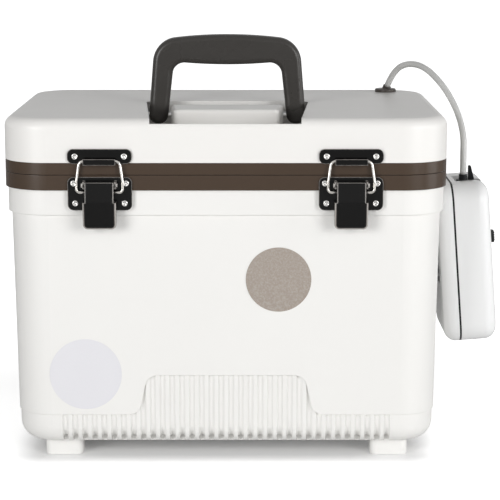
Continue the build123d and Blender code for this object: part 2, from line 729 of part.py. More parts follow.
def pump_cylinder(radius, y, v, low, high):
    """A cylinder along the pump's outward normal, between two distances from the parting plane."""
    with BuildPart() as rod:
        with BuildSketch(PUMP.offset(low)):
            with Locations((y, v)):
                Circle(radius)
        extrude(amount=high - low)
    return rod.part


def across_pump(radius, v, n, low_y, high_y):
    """A cylinder along Y inside the pump."""
    start = PUMP.from_local_coords((low_y, v, n))
    return cylinder(radius, start, (0, 1, 0), high_y - low_y)


def along_pump(radius, y, n, low_v, high_v):
    """A cylinder along the pump's height."""
    start = PUMP.from_local_coords((y, low_v, n))
    return cylinder(radius, start, PUMP.y_dir, high_v - low_v)


def case_half(depth, inset, side):
    """One half of the pump's case as a solid: side 1 is the front half, -1 the back half."""
    radius = PUMP_EDGE_RADIUS - inset
    with BuildPart() as half:
        with BuildSketch(PUMP.offset(side * PUMP_GASKET / 2)):
            RectangleRounded(PUMP_WIDTH - 2 * inset, PUMP_HEIGHT - 2 * inset, PUMP_CORNER - inset)
        extrude(amount=side * (depth - PUMP_GASKET / 2))
        outer = half.faces().sort_by(Axis(PUMP.origin, PUMP.z_dir))[-1 if side > 0 else 0]
        fillet(outer.edges(), radius)
    return half.part


def pump_trough(margin):
    """The scoop in the front half's top that the outlet fitting sits in."""
    start = PUMP.from_local_coords((TROUGH_Y, PUMP_TOP_V + TROUGH_RISE, TROUGH_LOW - margin))
    return cylinder(TROUGH_RADIUS + margin, start, PUMP.z_dir, PUMP_FRONT_DEPTH)


def clip_pocket(margin):
    """The pocket in the back half that holds the belt clip and the bracket's tongue."""
    low = CLIP_TOP - CLIP_LENGTH - CLIP_POCKET_BELOW
    with BuildPart() as pocket:
        with BuildSketch(PUMP.offset(-PUMP_BACK_DEPTH + CLIP_POCKET_DEPTH + margin)):
            with Locations((0, (low + CLIP_TOP) / 2)):
                Rectangle(CLIP_WIDTH + 2 * (CLIP_POCKET_MARGIN + margin), CLIP_TOP - low + 2 * margin)
        extrude(amount=-CLIP_POCKET_DEPTH - margin - (0 if margin else 1))
        if margin:
            add(case_half(PUMP_BACK_DEPTH, 0, -1), mode=Mode.INTERSECT)
    return pocket.part


def case_screw(side):
    """A screw that holds the pump's halves together, its head sunk in the back."""
    head_low = -PUMP_BACK_DEPTH + CASE_SCREW_SINK
    with BuildPart() as screw:
        head_high = head_low + CASE_SCREW_HEAD
        add(pump_cylinder(RIVET_RADIUS, side * CASE_SCREW_Y, CASE_SCREW_V, head_low, head_high))
        add(pump_cylinder(CASE_SCREW_RADIUS, side * CASE_SCREW_Y, CASE_SCREW_V, head_low, SCREW_BITE))
    return screw.part


def battery(side):
    """One cell with its raised cap."""
    with BuildPart() as cell:
        top_v = BATTERY_FOOT_V + BATTERY_LENGTH
        add(along_pump(BATTERY_RADIUS, side * BATTERY_Y, BATTERY_N, BATTERY_FOOT_V, top_v))
        add(along_pump(BATTERY_RADIUS / 3, side * BATTERY_Y, BATTERY_N, top_v, top_v + BATTERY_CAP))
    return cell.part


def bracket_screw_shank(y):
    """The stem of a screw that holds the pump's bracket to the tank's wall."""
    start = RIGHT_WALL.from_local_coords((y, BRACKET_SCREW_Z - COLLAR_FOOT, BRACKET_SHEET))
    return cylinder(RIVET_SHANK_RADIUS, start, RIGHT_WALL.z_dir * -1, BRACKET_SHEET + SHELL_WALL)


def bend_radii(points):
    """The largest arc at each corner of a hose's route that its two runs have room for."""
    radii = []
    for before, corner, after in zip(points, points[1:], points[2:]):
        run_in, run_out = Vector(*corner) - Vector(*before), Vector(*after) - Vector(*corner)
        turn = radians(run_in.get_angle(run_out))
        radii.append(0.45 * min(run_in.length, run_out.length) / tan(turn / 2))
    return radii


BODY = drafted_block(
    BODY_WIDTH, BODY_DEPTH, BODY_CORNER, FOOT_HEIGHT, COLLAR_FOOT, DRAFT, BOTTOM_RADIUS
)
SKIRT = drafted_block(
    BODY_WIDTH - 2 * SKIRT_INSET,
    BODY_DEPTH - 2 * SKIRT_INSET,
    BODY_CORNER - SKIRT_INSET,
    FOOT_HEIGHT,
    COLLAR_FOOT,
    DRAFT,
    BOTTOM_RADIUS,
)
with BuildPart() as shell_cavity:
    add(
        drafted_block(
            BODY_WIDTH - 2 * SHELL_WALL,
            BODY_DEPTH - 2 * SHELL_WALL,
            BODY_CORNER - SHELL_WALL,
            FOOT_HEIGHT + SHELL_WALL,
            RIM_FOOT + 1,
            DRAFT,
            CAVITY_BOTTOM_RADIUS,
        )
    )
    with BuildSketch(Plane.XY.offset(FOOT_HEIGHT)):  # the wall is thicker behind the flutes
        with Locations((0, -BODY_DEPTH / 2)):
            Rectangle((FLUTE_COUNT + 1) * FLUTE_PITCH, 2 * (SHELL_WALL + SKIRT_INSET + FLUTE_DEPTH))
    extrude(amount=PANEL_HEIGHT + FLUTE_PITCH, mode=Mode.SUBTRACT)
SHELL_CAVITY = shell_cavity.part
LINER_OUTSIDE = drafted_block(
    LINER_WIDTH + 2 * LINER_WALL,
    LINER_DEPTH + 2 * LINER_WALL,
    LINER_CORNER + LINER_WALL,
    FLOOR_Z - LINER_WALL,
    TANK_HEIGHT,
    LINER_DRAFT,
    LINER_BOTTOM_RADIUS + LINER_WALL,
)
LINER_FLANGE_BLOCK = plain_block(
    LINER_TOP_WIDTH + 2 * (LINER_WALL + LINER_FLANGE),
    LINER_TOP_DEPTH + 2 * (LINER_WALL + LINER_FLANGE),
    LINER_TOP_CORNER + LINER_FLANGE,
    RIM_FOOT - FLANGE_THICKNESS,
    RIM_FOOT,
)

LINER_INSIDE = drafted_block(
    LINER_WIDTH, LINER_DEPTH, LINER_CORNER, FLOOR_Z, TANK_HEIGHT + 1, LINER_DRAFT, LINER_BOTTOM_RADIUS
)
LID_REBATE = plain_block(
    LID_OPENING[0] + 2 * LID_PANEL_REBATE,
    LID_OPENING[1] + 2 * LID_PANEL_REBATE,
    LID_OPENING[2] + LID_PANEL_REBATE,
    PANEL_FOOT,
    LID_SHELL_FOOT,
)
GROMMET_HOLE = cylinder(
    GROMMET_NECK_RADIUS, (GROMMET_X, GROMMET_Y, SEAM), (0, 0, 1), LID_TOP - SEAM
)
GASKET_MIDDLE = ((RIM_WIDTH + LINER_TOP_WIDTH) / 2, (RIM_DEPTH + LINER_TOP_DEPTH) / 2)
with BuildPart() as gasket_ring:
    with BuildSketch(Plane.XY.offset(TANK_HEIGHT)):
        RectangleRounded(
            GASKET_MIDDLE[0] + GASKET_WIDTH,
            GASKET_MIDDLE[1] + GASKET_WIDTH,
            (RIM_CORNER + LINER_TOP_CORNER + GASKET_WIDTH) / 2,
        )
        RectangleRounded(
            GASKET_MIDDLE[0] - GASKET_WIDTH,
            GASKET_MIDDLE[1] - GASKET_WIDTH,
            (RIM_CORNER + LINER_TOP_CORNER - GASKET_WIDTH) / 2,
            mode=Mode.SUBTRACT,
        )
    extrude(amount=LID_GAP + GASKET_GROOVE)
LID_GASKET_RING = gasket_ring.part
with BuildPart() as lid_cavity:
    add(
        plain_block(
            RIM_WIDTH - 2 * LID_WALL,
            RIM_DEPTH - 2 * LID_WALL,
            RIM_CORNER - LID_WALL,
            LID_SHELL_FOOT,
            LID_TOP - LID_WALL,
        )
    )
    fillet(lid_cavity.faces().sort_by(Axis.Z)[-1].edges(), LID_EDGE_RADIUS - 1)
    add(handle_pocket(LID_WALL), mode=Mode.SUBTRACT)
LID_CAVITY = lid_cavity.part

with BuildPart() as skirt:
    add(SKIRT)
    add(skirt_zone(), mode=Mode.INTERSECT)
    add(flute_cutters(), mode=Mode.SUBTRACT)

with BuildPart() as tank_shell:
    add(BODY)
    add(skirt_zone(), mode=Mode.SUBTRACT)
    add(skirt.part)
    with BuildSketch(Plane.XY.offset(COLLAR_FOOT)):
        RectangleRounded(
            RIM_WIDTH - 2 * COLLAR_STEP, RIM_DEPTH - 2 * COLLAR_STEP, RIM_CORNER - COLLAR_STEP
        )
    extrude(amount=COLLAR_HEIGHT)
    for latch_x in LATCHES.values():
        add(pad(latch_x, BASE_FOOT + 1, back=False))
    for hinge_x in HINGES:
        add(pad(hinge_x, SEAM - HINGE_LEAF - HINGE_KNUCKLE_RADIUS + 1, back=True))
    with BuildSketch(Plane.XY):
        with GridLocations(FOOT_SPACING_X, FOOT_SPACING_Y, 2, 2):
            RectangleRounded(FOOT_WIDTH, FOOT_DEPTH, FOOT_CORNER)
    extrude(amount=FOOT_HEIGHT + SHELL_WALL / 2)
    fillet(tank_shell.faces().group_by(Axis.Z)[0].edges(), FOOT_EDGE_RADIUS)
    add(SHELL_CAVITY, mode=Mode.SUBTRACT)
    for point, outward in TANK_RIVETS:
        add(shank(point, outward), mode=Mode.SUBTRACT)
    for screw_y in BRACKET_SCREWS_Y:
        add(bracket_screw_shank(screw_y), mode=Mode.SUBTRACT)
save(tank_shell.part, "tank_shell")

# ---- tank liner, its insulation and the rim band
with BuildPart() as tank_liner:
    add(LINER_OUTSIDE)
    add(LINER_FLANGE_BLOCK)
    add(LINER_INSIDE, mode=Mode.SUBTRACT)
save(tank_liner.part, "tank_liner")

with BuildPart() as tank_insulation:
    add(SHELL_CAVITY)
    add(plain_block(2 * RIM_WIDTH, 2 * RIM_DEPTH, 1, LINER_FLANGE_FOOT, TANK_HEIGHT), mode=Mode.SUBTRACT)
    add(LINER_OUTSIDE, mode=Mode.SUBTRACT)
save(tank_insulation.part, "tank_insulation")

with BuildPart() as rim_band:
    add(plain_block(RIM_WIDTH, RIM_DEPTH, RIM_CORNER, RIM_FOOT, TANK_HEIGHT))
    add(LINER_OUTSIDE, mode=Mode.SUBTRACT)
    for point, outward in TANK_RIVETS:
        add(shank(point, outward), mode=Mode.SUBTRACT)
save(rim_band.part, "rim_band")

# ---- round blank labels on the front wall
for name, radius, x, z in (
    ("capacity_label", CAPACITY_LABEL_RADIUS, CAPACITY_LABEL_X, CAPACITY_LABEL_Z),
    ("badge_label", BADGE_LABEL_RADIUS, BADGE_LABEL_X, BADGE_LABEL_Z),
):
    with BuildPart() as label:
        with BuildSketch(FRONT_WALL):
            with Locations((x, z - COLLAR_FOOT)):
                Circle(radius)
        extrude(amount=LABEL_THICKNESS)
    save(label.part, name)

# ---- lid
with BuildPart() as lid_shell:
    add(plain_block(RIM_WIDTH, RIM_DEPTH, RIM_CORNER, LID_SHELL_FOOT, LID_TOP))
    fillet(lid_shell.faces().sort_by(Axis.Z)[-1].edges(), LID_EDGE_RADIUS)
    add(LID_CAVITY, mode=Mode.SUBTRACT)
    add(handle_pocket(0), mode=Mode.SUBTRACT)
    for side in (-1, 1):
        add(handle_pin(side), mode=Mode.SUBTRACT)
    add(GROMMET_HOLE, mode=Mode.SUBTRACT)
    for point, outward in LID_RIVETS:
        add(shank(point, outward), mode=Mode.SUBTRACT)
save(lid_shell.part, "lid_shell")

with BuildPart() as lid_band:
    add(plain_block(RIM_WIDTH, RIM_DEPTH, RIM_CORNER, SEAM, LID_SHELL_FOOT))
    add(plain_block(*LID_OPENING, SEAM, LID_SHELL_FOOT), mode=Mode.SUBTRACT)
    add(LID_REBATE, mode=Mode.SUBTRACT)
    add(LID_GASKET_RING, mode=Mode.SUBTRACT)
    add(GROMMET_HOLE, mode=Mode.SUBTRACT)
save(lid_band.part, "lid_band")

with BuildPart() as lid_liner:
    add(LID_REBATE)
    add(
        plain_block(RIM_WIDTH, RIM_DEPTH, 1, PANEL_TOP, LID_SHELL_FOOT),
        mode=Mode.SUBTRACT,
    )
    add(GROMMET_HOLE, mode=Mode.SUBTRACT)
save(lid_liner.part, "lid_liner")

with BuildPart() as lid_insulation:
    add(LID_REBATE)
    add(plain_block(RIM_WIDTH, RIM_DEPTH, 1, SEAM, PANEL_TOP), mode=Mode.SUBTRACT)
    add(LID_CAVITY)
    for side in (-1, 1):
        add(handle_pin(side), mode=Mode.SUBTRACT)
    add(GROMMET_HOLE, mode=Mode.SUBTRACT)
save(lid_insulation.part, "lid_insulation")

with BuildPart() as lid_gasket:
    add(LID_GASKET_RING)
save(lid_gasket.part, "lid_gasket")

# ---- handle and its pins
with BuildPart() as handle:
    with BuildSketch(Plane.XZ.offset(-HANDLE_THICKNESS / 2)) as outline:
        grip_z = PIVOT_Z + HANDLE_RISE - HANDLE_GRIP_DEPTH
        with BuildLine():
            Line((-HANDLE_BASE, PIVOT_Z), (-HANDLE_TOP, PIVOT_Z + HANDLE_RISE - HANDLE_CROWN_DROP))
            ThreePointArc(
                (-HANDLE_TOP, PIVOT_Z + HANDLE_RISE - HANDLE_CROWN_DROP),
                (0, PIVOT_Z + HANDLE_RISE),
                (HANDLE_TOP, PIVOT_Z + HANDLE_RISE - HANDLE_CROWN_DROP),
            )
            Line((HANDLE_TOP, PIVOT_Z + HANDLE_RISE - HANDLE_CROWN_DROP), (HANDLE_BASE, PIVOT_Z))
            ThreePointArc(
                (HANDLE_BASE, PIVOT_Z),
                (HANDLE_BASE - HANDLE_LEG / 2, PIVOT_Z - HANDLE_THICKNESS / 2),
                (HANDLE_BASE - HANDLE_LEG, PIVOT_Z),
            )
            Line((HANDLE_BASE - HANDLE_LEG, PIVOT_Z), (HANDLE_TOP - HANDLE_LEG, grip_z + HANDLE_GRIP_BOW))
            ThreePointArc(
                (HANDLE_TOP - HANDLE_LEG, grip_z + HANDLE_GRIP_BOW),
                (0, grip_z),
                (HANDLE_LEG - HANDLE_TOP, grip_z + HANDLE_GRIP_BOW),
            )
            Line((HANDLE_LEG - HANDLE_TOP, grip_z + HANDLE_GRIP_BOW), (HANDLE_LEG - HANDLE_BASE, PIVOT_Z))
            ThreePointArc(
                (HANDLE_LEG - HANDLE_BASE, PIVOT_Z),
                (HANDLE_LEG / 2 - HANDLE_BASE, PIVOT_Z - HANDLE_THICKNESS / 2),
                (-HANDLE_BASE, PIVOT_Z),
            )
        make_face()
        outer = outline.vertices().filter_by(lambda corner: abs(abs(corner.X) - HANDLE_TOP) < 1)
        fillet(outer.filter_by(lambda corner: corner.Y > grip_z), HANDLE_CROWN_RADIUS)
        hand_z = grip_z + HANDLE_GRIP_BOW
        inner = outline.vertices().filter_by(lambda corner: abs(corner.X) < HANDLE_TOP - HANDLE_LEG + 1)
        fillet(inner.filter_by(lambda corner: abs(corner.Y - hand_z) < 1), HANDLE_HAND_RADIUS)
    extrude(amount=HANDLE_THICKNESS)
    caps = handle.faces().filter_by(Axis.Y)
    fillet(caps.edges(), HANDLE_EDGE_RADIUS)
    add(
        cylinder(
            HANDLE_PIN_RADIUS + RUNNING_CLEARANCE, (-RIM_WIDTH / 2, 0, PIVOT_Z), (1, 0, 0), RIM_WIDTH
        ),
        mode=Mode.SUBTRACT,
    )
save(handle.part, "handle")

with BuildPart() as handle_pins:
    for side in (-1, 1):
        add(handle_pin(side))
save(handle_pins.part, "handle_pins")

# ---- draw latches
for hand, x in LATCHES.items():
    with BuildPart() as keeper:
        with BuildSketch(Plane.XZ.offset(-FACE_Y)) as plate:
            with Locations((x, KEEPER_FOOT + KEEPER_HEIGHT / 2)):
                RectangleRounded(LATCH_PLATE, KEEPER_HEIGHT, LATCH_CORNER)
        extrude(amount=LATCH_SHEET)
        add(
            along_x(
                [
                    (FACE_Y - LATCH_SHEET / 2, LIP_FOOT),
                    (LIP_BACK_Y - LIP_THICKNESS, LIP_FOOT),
                    (LIP_BACK_Y - LIP_THICKNESS, LIP_FOOT + LIP_HEIGHT),
                    (LIP_BACK_Y, LIP_FOOT + LIP_HEIGHT),
                    (LIP_BACK_Y, LIP_FOOT + CHANNEL_FLOOR),
                    (FACE_Y - LATCH_SHEET / 2, LIP_FOOT + CHANNEL_FLOOR),
                ],
                x - LIP_WIDTH / 2,
                x + LIP_WIDTH / 2,
            )
        )
        for point, outward in LID_RIVETS:
            add(shank(point, outward), mode=Mode.SUBTRACT)
    save(keeper.part, f"keeper_{hand}")

    with BuildPart() as latch_base:
        with BuildSketch(Plane.XZ.offset(-FACE_Y)):
            with Locations((x, BASE_TOP - BASE_HEIGHT / 2)):
                RectangleRounded(LATCH_PLATE, BASE_HEIGHT, LATCH_CORNER)
        extrude(amount=LATCH_SHEET)
        for side in (-1, 1):
            ear_x = x + side * (LEVER_NECK_WIDTH / 2 + EAR_GAP + EAR_THICKNESS / 2)
            with BuildSketch(SIDE.offset(ear_x)):
                with Locations((PIVOT_Y, LEVER_PIVOT_Z)):
                    Circle(EAR_RADIUS)
                with Locations(((PIVOT_Y + FACE_Y - LATCH_SHEET / 2) / 2, LEVER_PIVOT_Z)):
                    Rectangle(LEVER_PIVOT_OUT - LATCH_SHEET / 2, 2 * EAR_RADIUS)
            extrude(amount=EAR_THICKNESS / 2, both=True)
        add(lever_pin(x), mode=Mode.SUBTRACT)
        for point, outward in TANK_RIVETS:
            add(shank(point, outward), mode=Mode.SUBTRACT)
    save(latch_base.part, f"latch_base_{hand}")

    with BuildPart() as pin:
        add(lever_pin(x))
        for side in (-1, 1):
            head_x = x + side * (LEVER_NECK_WIDTH / 2 + EAR_GAP + EAR_THICKNESS)
            add(cylinder(LEVER_PIN_RADIUS * 1.6, (head_x, PIVOT_Y, LEVER_PIVOT_Z), (side, 0, 0), PIN_HEAD))
    save(pin.part, f"lever_pin_{hand}")

    with BuildPart() as lever:
        add(lever_prism(x, LEVER_NECK_WIDTH / 2, 0, neck=True))
        fillet(lever.edges().filter_by(lever_front_edge), LEVER_EDGE_RADIUS)
        add(lever_paddle(x, 0))
        add(lever_prism(x, LEVER_NECK_WIDTH / 2 - LEVER_SHEET, LEVER_SHEET, neck=True), mode=Mode.SUBTRACT)
        add(lever_paddle(x, LEVER_SHEET), mode=Mode.SUBTRACT)
        for y, z, radius in (
            (PIVOT_Y, LEVER_PIVOT_Z, LEVER_PIN_RADIUS),
            (BAIL_Y, BAIL_Z, WIRE_RADIUS),
        ):
            add(
                cylinder(radius + RUNNING_CLEARANCE, (x - LEVER_WIDTH, y, z), (1, 0, 0), 2 * LEVER_WIDTH),
                mode=Mode.SUBTRACT,
            )
    save(lever.part, f"lever_{hand}")

    spacer_half = LEVER_NECK_WIDTH / 2 - LEVER_SHEET - SPACER_END_GAP
    with BuildPart() as spacer:
        with BuildSketch(SIDE.offset(x)):
            with Locations((BAIL_Y, BAIL_Z)):
                Circle(SPACER_RADIUS)
                Circle(WIRE_RADIUS + RUNNING_CLEARANCE, mode=Mode.SUBTRACT)
        extrude(amount=spacer_half, both=True)
    save(spacer.part, f"bail_spacer_{hand}")

    with BuildPart() as bail:
        with BuildLine() as wire:
            top, foot = BAIL_TOP_WIDTH / 2, BAIL_FOOT_WIDTH / 2
            shoulder_y = BAIL_Y + (BAR_Y - BAIL_Y) * BAIL_SHOULDER / (BAR_Z - BAIL_Z)
            FilletPolyline(
                (x - BAIL_END, BAIL_Y, BAIL_Z),
                (x - foot, BAIL_Y, BAIL_Z),
                (x - foot, shoulder_y, BAIL_Z + BAIL_SHOULDER),
                (x - top, BAR_Y, BAR_Z),
                (x + top, BAR_Y, BAR_Z),
                (x + foot, shoulder_y, BAIL_Z + BAIL_SHOULDER),
                (x + foot, BAIL_Y, BAIL_Z),
                (x + BAIL_END, BAIL_Y, BAIL_Z),
                radius=BAIL_BEND,
            )
        with BuildSketch(Plane(origin=wire.line @ 0, z_dir=wire.line % 0)):
            Circle(WIRE_RADIUS)
        sweep(path=wire.line)
    save(bail.part, f"bail_{hand}")

with BuildPart() as latch_base_rivets:
    for point, outward in BASE_RIVET_POINTS:
        add(rivet(point, outward))
save(latch_base_rivets.part, "latch_base_rivets")

with BuildPart() as keeper_rivets:
    for point, outward in KEEPER_RIVET_POINTS:
        add(rivet(point, outward))
save(keeper_rivets.part, "keeper_rivets")

# ---- rear hinges: outer knuckles on the tank, middle knuckle on the lid
with BuildPart() as hinge_tank_leaves:
    for x in HINGES:
        add(hinge_leaf(x, -1))
        for side in (-1, 1):
            add(hinge_knuckle(x + side * HINGE_LENGTH / 3, HINGE_LENGTH / 3 - HINGE_END_GAP, -1))
        add(cylinder(HINGE_PIN_RADIUS, (x - HINGE_LENGTH, HINGE_Y, HINGE_Z), (1, 0, 0), 2 * HINGE_LENGTH),
            mode=Mode.SUBTRACT)
    for point, outward in HINGE_TANK_RIVET_POINTS:
        add(shank(point, outward), mode=Mode.SUBTRACT)
save(hinge_tank_leaves.part, "hinge_tank_leaves")

with BuildPart() as hinge_lid_leaves:
    for x in HINGES:
        add(hinge_leaf(x, 1))
        add(hinge_knuckle(x, HINGE_LENGTH / 3 - HINGE_END_GAP, 1))
        add(cylinder(HINGE_PIN_RADIUS + RUNNING_CLEARANCE, (x - HINGE_LENGTH, HINGE_Y, HINGE_Z), (1, 0, 0),
                     2 * HINGE_LENGTH), mode=Mode.SUBTRACT)
    for point, outward in HINGE_LID_RIVET_POINTS:
        add(shank(point, outward), mode=Mode.SUBTRACT)
save(hinge_lid_leaves.part, "hinge_lid_leaves")

with BuildPart() as hinge_pins:
    for x in HINGES:
        add(cylinder(HINGE_PIN_RADIUS, (x - HINGE_LENGTH / 2, HINGE_Y, HINGE_Z), (1, 0, 0), HINGE_LENGTH))
save(hinge_pins.part, "hinge_pins")

with BuildPart() as hinge_rivets_tank:
    for point, outward in HINGE_TANK_RIVET_POINTS:
        add(rivet(point, outward))
save(hinge_rivets_tank.part, "hinge_rivets_tank")

with BuildPart() as hinge_rivets_lid:
    for point, outward in HINGE_LID_RIVET_POINTS:
        add(rivet(point, outward))
save(hinge_rivets_lid.part, "hinge_rivets_lid")

# ---- pump case
HALF_GASKET = PUMP_GASKET / 2
with BuildPart() as pump_gasket:
    with BuildSketch(PUMP.offset(-HALF_GASKET)):
        RectangleRounded(PUMP_WIDTH, PUMP_HEIGHT, PUMP_CORNER)
        RectangleRounded(
            PUMP_WIDTH - 2 * PUMP_WALL,
            PUMP_HEIGHT - 2 * PUMP_WALL,
            PUMP_CORNER - PUMP_WALL,
            mode=Mode.SUBTRACT,
        )
    extrude(amount=PUMP_GASKET)
save(pump_gasket.part, "pump_gasket")

FRONT_CASE = case_half(PUMP_FRONT_DEPTH, 0, 1)
with BuildPart() as front_solid:
    add(FRONT_CASE)
    add(pump_trough(0), mode=Mode.SUBTRACT)

with BuildPart() as front_cavity:
    add(case_half(PUMP_FRONT_DEPTH - PUMP_WALL, PUMP_WALL, 1))
    add(pump_trough(PUMP_WALL), mode=Mode.SUBTRACT)
    for side in (-1, 1):
        add(
            pump_cylinder(SCREW_BOSS_RADIUS, side * CASE_SCREW_Y, CASE_SCREW_V, 0, PUMP_FRONT_DEPTH),
            mode=Mode.SUBTRACT,
        )

with BuildPart() as pump_front_shell:
    add(front_solid.part)
    add(front_cavity.part, mode=Mode.SUBTRACT)
    with BuildSketch(PUMP.offset(PUMP_FRONT_DEPTH + 1)):
        with Locations((0, SWITCH_RISE - SWITCH_TRAVEL / 2)):
            Rectangle(SWITCH_SLOT_WIDTH, SWITCH_SLOT_LENGTH)
    extrude(amount=-PUMP_WALL - 2, mode=Mode.SUBTRACT)
    add(
        cylinder(NOZZLE_STEM_RADIUS, NOZZLE_FOOT, (0, 0, 1), NOZZLE_TOP[2] - NOZZLE_FOOT[2]),
        mode=Mode.SUBTRACT,
    )
    for side in (-1, 1):
        add(
            pump_cylinder(CASE_SCREW_RADIUS, side * CASE_SCREW_Y, CASE_SCREW_V, -1, SCREW_BITE + 1),
            mode=Mode.SUBTRACT,
        )
save(pump_front_shell.part, "pump_front_shell")

with BuildPart() as pump_back_shell:
    add(case_half(PUMP_BACK_DEPTH, 0, -1))
    add(case_half(PUMP_BACK_DEPTH - PUMP_WALL, PUMP_WALL, -1), mode=Mode.SUBTRACT)
    add(clip_pocket(PUMP_WALL))
    for side in (-1, 1):
        add(pump_cylinder(SCREW_BOSS_RADIUS, side * CASE_SCREW_Y, CASE_SCREW_V, -HALF_GASKET,
                          HALF_GASKET - PUMP_BACK_DEPTH + PUMP_WALL))
    add(clip_pocket(0), mode=Mode.SUBTRACT)
    for side in (-1, 1):
        add(case_screw(side), mode=Mode.SUBTRACT)
save(pump_back_shell.part, "pump_back_shell")

with BuildPart() as case_screws:
    for side in (-1, 1):
        add(case_screw(side))
save(case_screws.part, "case_screws")

# ---- belt clip on the pump, and the bracket on the tank that it hangs over
with BuildPart() as belt_clip:
    clip_middle = CLIP_TOP - CLIP_LENGTH / 2
    with BuildSketch(PUMP.offset(-PUMP_BACK_DEPTH)):
        with Locations((0, clip_middle)):
            RectangleRounded(CLIP_WIDTH, CLIP_LENGTH, CLIP_SHEET * 2)
    extrude(amount=CLIP_SHEET)
    with BuildSketch(PUMP.offset(-PUMP_BACK_DEPTH + CLIP_SHEET / 2)):
        with Locations((0, CLIP_TOP - CLIP_ROOT / 2)):
            Rectangle(CLIP_WIDTH - CLIP_SHEET * 4, CLIP_ROOT)
    extrude(amount=CLIP_POCKET_DEPTH - CLIP_SHEET / 2)
save(belt_clip.part, "belt_clip")

with BuildPart() as pump_bracket:
    with BuildSketch(RIGHT_WALL):
        with Locations((0, BRACKET_TOP_Z - BRACKET_HEIGHT / 2 - COLLAR_FOOT)):
            RectangleRounded(BRACKET_WIDTH, BRACKET_HEIGHT, BRACKET_SHEET * 2)
    extrude(amount=BRACKET_SHEET)
    tongue_top = CLIP_TOP - CLIP_ROOT - TONGUE_GAP
    with BuildSketch(PUMP.offset(TONGUE_BACK)):
        with Locations((0, (TONGUE_LOW + tongue_top) / 2)):
            Rectangle(TONGUE_WIDTH, tongue_top - TONGUE_LOW)
    extrude(amount=TONGUE_SHEET)
    with BuildSketch(Plane.XZ.offset(-TONGUE_WIDTH / 2)):
        with BuildLine():
            wall_x = RIGHT_WALL.origin.X - (COLLAR_FOOT - TONGUE_FOOT.Z) * tan(radians(DRAFT))
            web_x = TONGUE_FOOT.X - BRACKET_SHEET * tan(radians(PUMP_LEAN))
            Polyline(
                (wall_x + BRACKET_SHEET / 2, TONGUE_FOOT.Z),
                (TONGUE_FOOT.X, TONGUE_FOOT.Z),
                (web_x, TONGUE_FOOT.Z + BRACKET_SHEET),
                (wall_x + BRACKET_SHEET / 2, TONGUE_FOOT.Z + BRACKET_SHEET),
                close=True,
            )
        make_face()
    extrude(amount=TONGUE_WIDTH)
    for screw_y in BRACKET_SCREWS_Y:
        add(bracket_screw_shank(screw_y), mode=Mode.SUBTRACT)
save(pump_bracket.part, "pump_bracket")

with BuildPart() as bracket_screws:
    for screw_y in BRACKET_SCREWS_Y:
        add(bracket_screw_shank(screw_y))
        with BuildSketch(RIGHT_WALL.offset(BRACKET_SHEET)):
            with Locations((screw_y, BRACKET_SCREW_Z - COLLAR_FOOT)):
                Circle(RIVET_RADIUS)
        extrude(amount=RIVET_HEAD)
save(bracket_screws.part, "bracket_screws")

# ---- outlet fitting with its fin, over the trough
with BuildPart() as outlet_fitting:
    nozzle_x, nozzle_y, nozzle_z = NOZZLE_TOP
    with BuildSketch(Plane.XY.offset(FITTING_FOOT_Z)):
        with Locations((nozzle_x + FITTING_WIDTH / 4, nozzle_y)):
            RectangleRounded(FITTING_WIDTH, FITTING_DEPTH, 2.0)
    extrude(amount=FLANGE_Z - FITTING_FOOT_Z)
    with BuildSketch(Plane.XY.offset(FLANGE_Z)):
        with Locations(((FLANGE_LOW_X + FLANGE_HIGH_X) / 2, nozzle_y)):
            RectangleRounded(FLANGE_HIGH_X - FLANGE_LOW_X, FITTING_DEPTH, 3.0)
    extrude(amount=FLANGE_SHEET)
    add(cylinder(NOZZLE_RADIUS, (nozzle_x, nozzle_y, FLANGE_Z), (0, 0, 1), nozzle_z - FLANGE_Z))
    with BuildSketch(Plane.XZ.offset(-nozzle_y - FIN_SHEET / 2)) as fin:
        with BuildLine():
            Polyline(
                (FIN_X, FLANGE_Z),
                (FIN_X, FIN_TOP_Z),
                (FIN_X + FIN_CROWN, FIN_TOP_Z),
                (FLANGE_HIGH_X - FIN_SHEET * 1.5, FLANGE_Z),
                close=True,
            )
        make_face()
        fillet(fin.vertices().group_by(Axis.Z)[-1], FIN_CROWN * 0.4)
    extrude(amount=FIN_SHEET)
    add(front_solid.part, mode=Mode.SUBTRACT)
    add(cylinder(NOZZLE_STEM_RADIUS, NOZZLE_FOOT, (0, 0, 1), FLANGE_Z - NOZZLE_FOOT[2]))
    add(cylinder(AIR_BORE_RADIUS, NOZZLE_FOOT, (0, 0, 1), nozzle_z - NOZZLE_FOOT[2]), mode=Mode.SUBTRACT)
save(outlet_fitting.part, "outlet_fitting")

# ---- switch
with BuildPart() as pump_switch:
    with BuildSketch(PUMP.offset(PUMP_FRONT_DEPTH + KNOB_GAP)):
        with Locations((0, SWITCH_RISE)):
            RectangleRounded(KNOB_WIDTH, KNOB_LENGTH, KNOB_WIDTH * 0.3)
    extrude(amount=KNOB_PROUD)
    fillet(pump_switch.faces().sort_by(Axis(PUMP.origin, PUMP.z_dir))[-1].edges(), KNOB_PROUD * 0.35)
    with BuildSketch(PUMP.offset(PUMP_FRONT_DEPTH + KNOB_GAP + 1)):
        with Locations((0, SWITCH_RISE)):
            Rectangle(
                SWITCH_SLOT_WIDTH - 2 * KNOB_GAP - 1, SWITCH_SLOT_LENGTH - SWITCH_TRAVEL - 2 * KNOB_GAP
            )
    extrude(amount=-PUMP_WALL - 1 - 2 * KNOB_GAP)
save(pump_switch.part, "pump_switch")

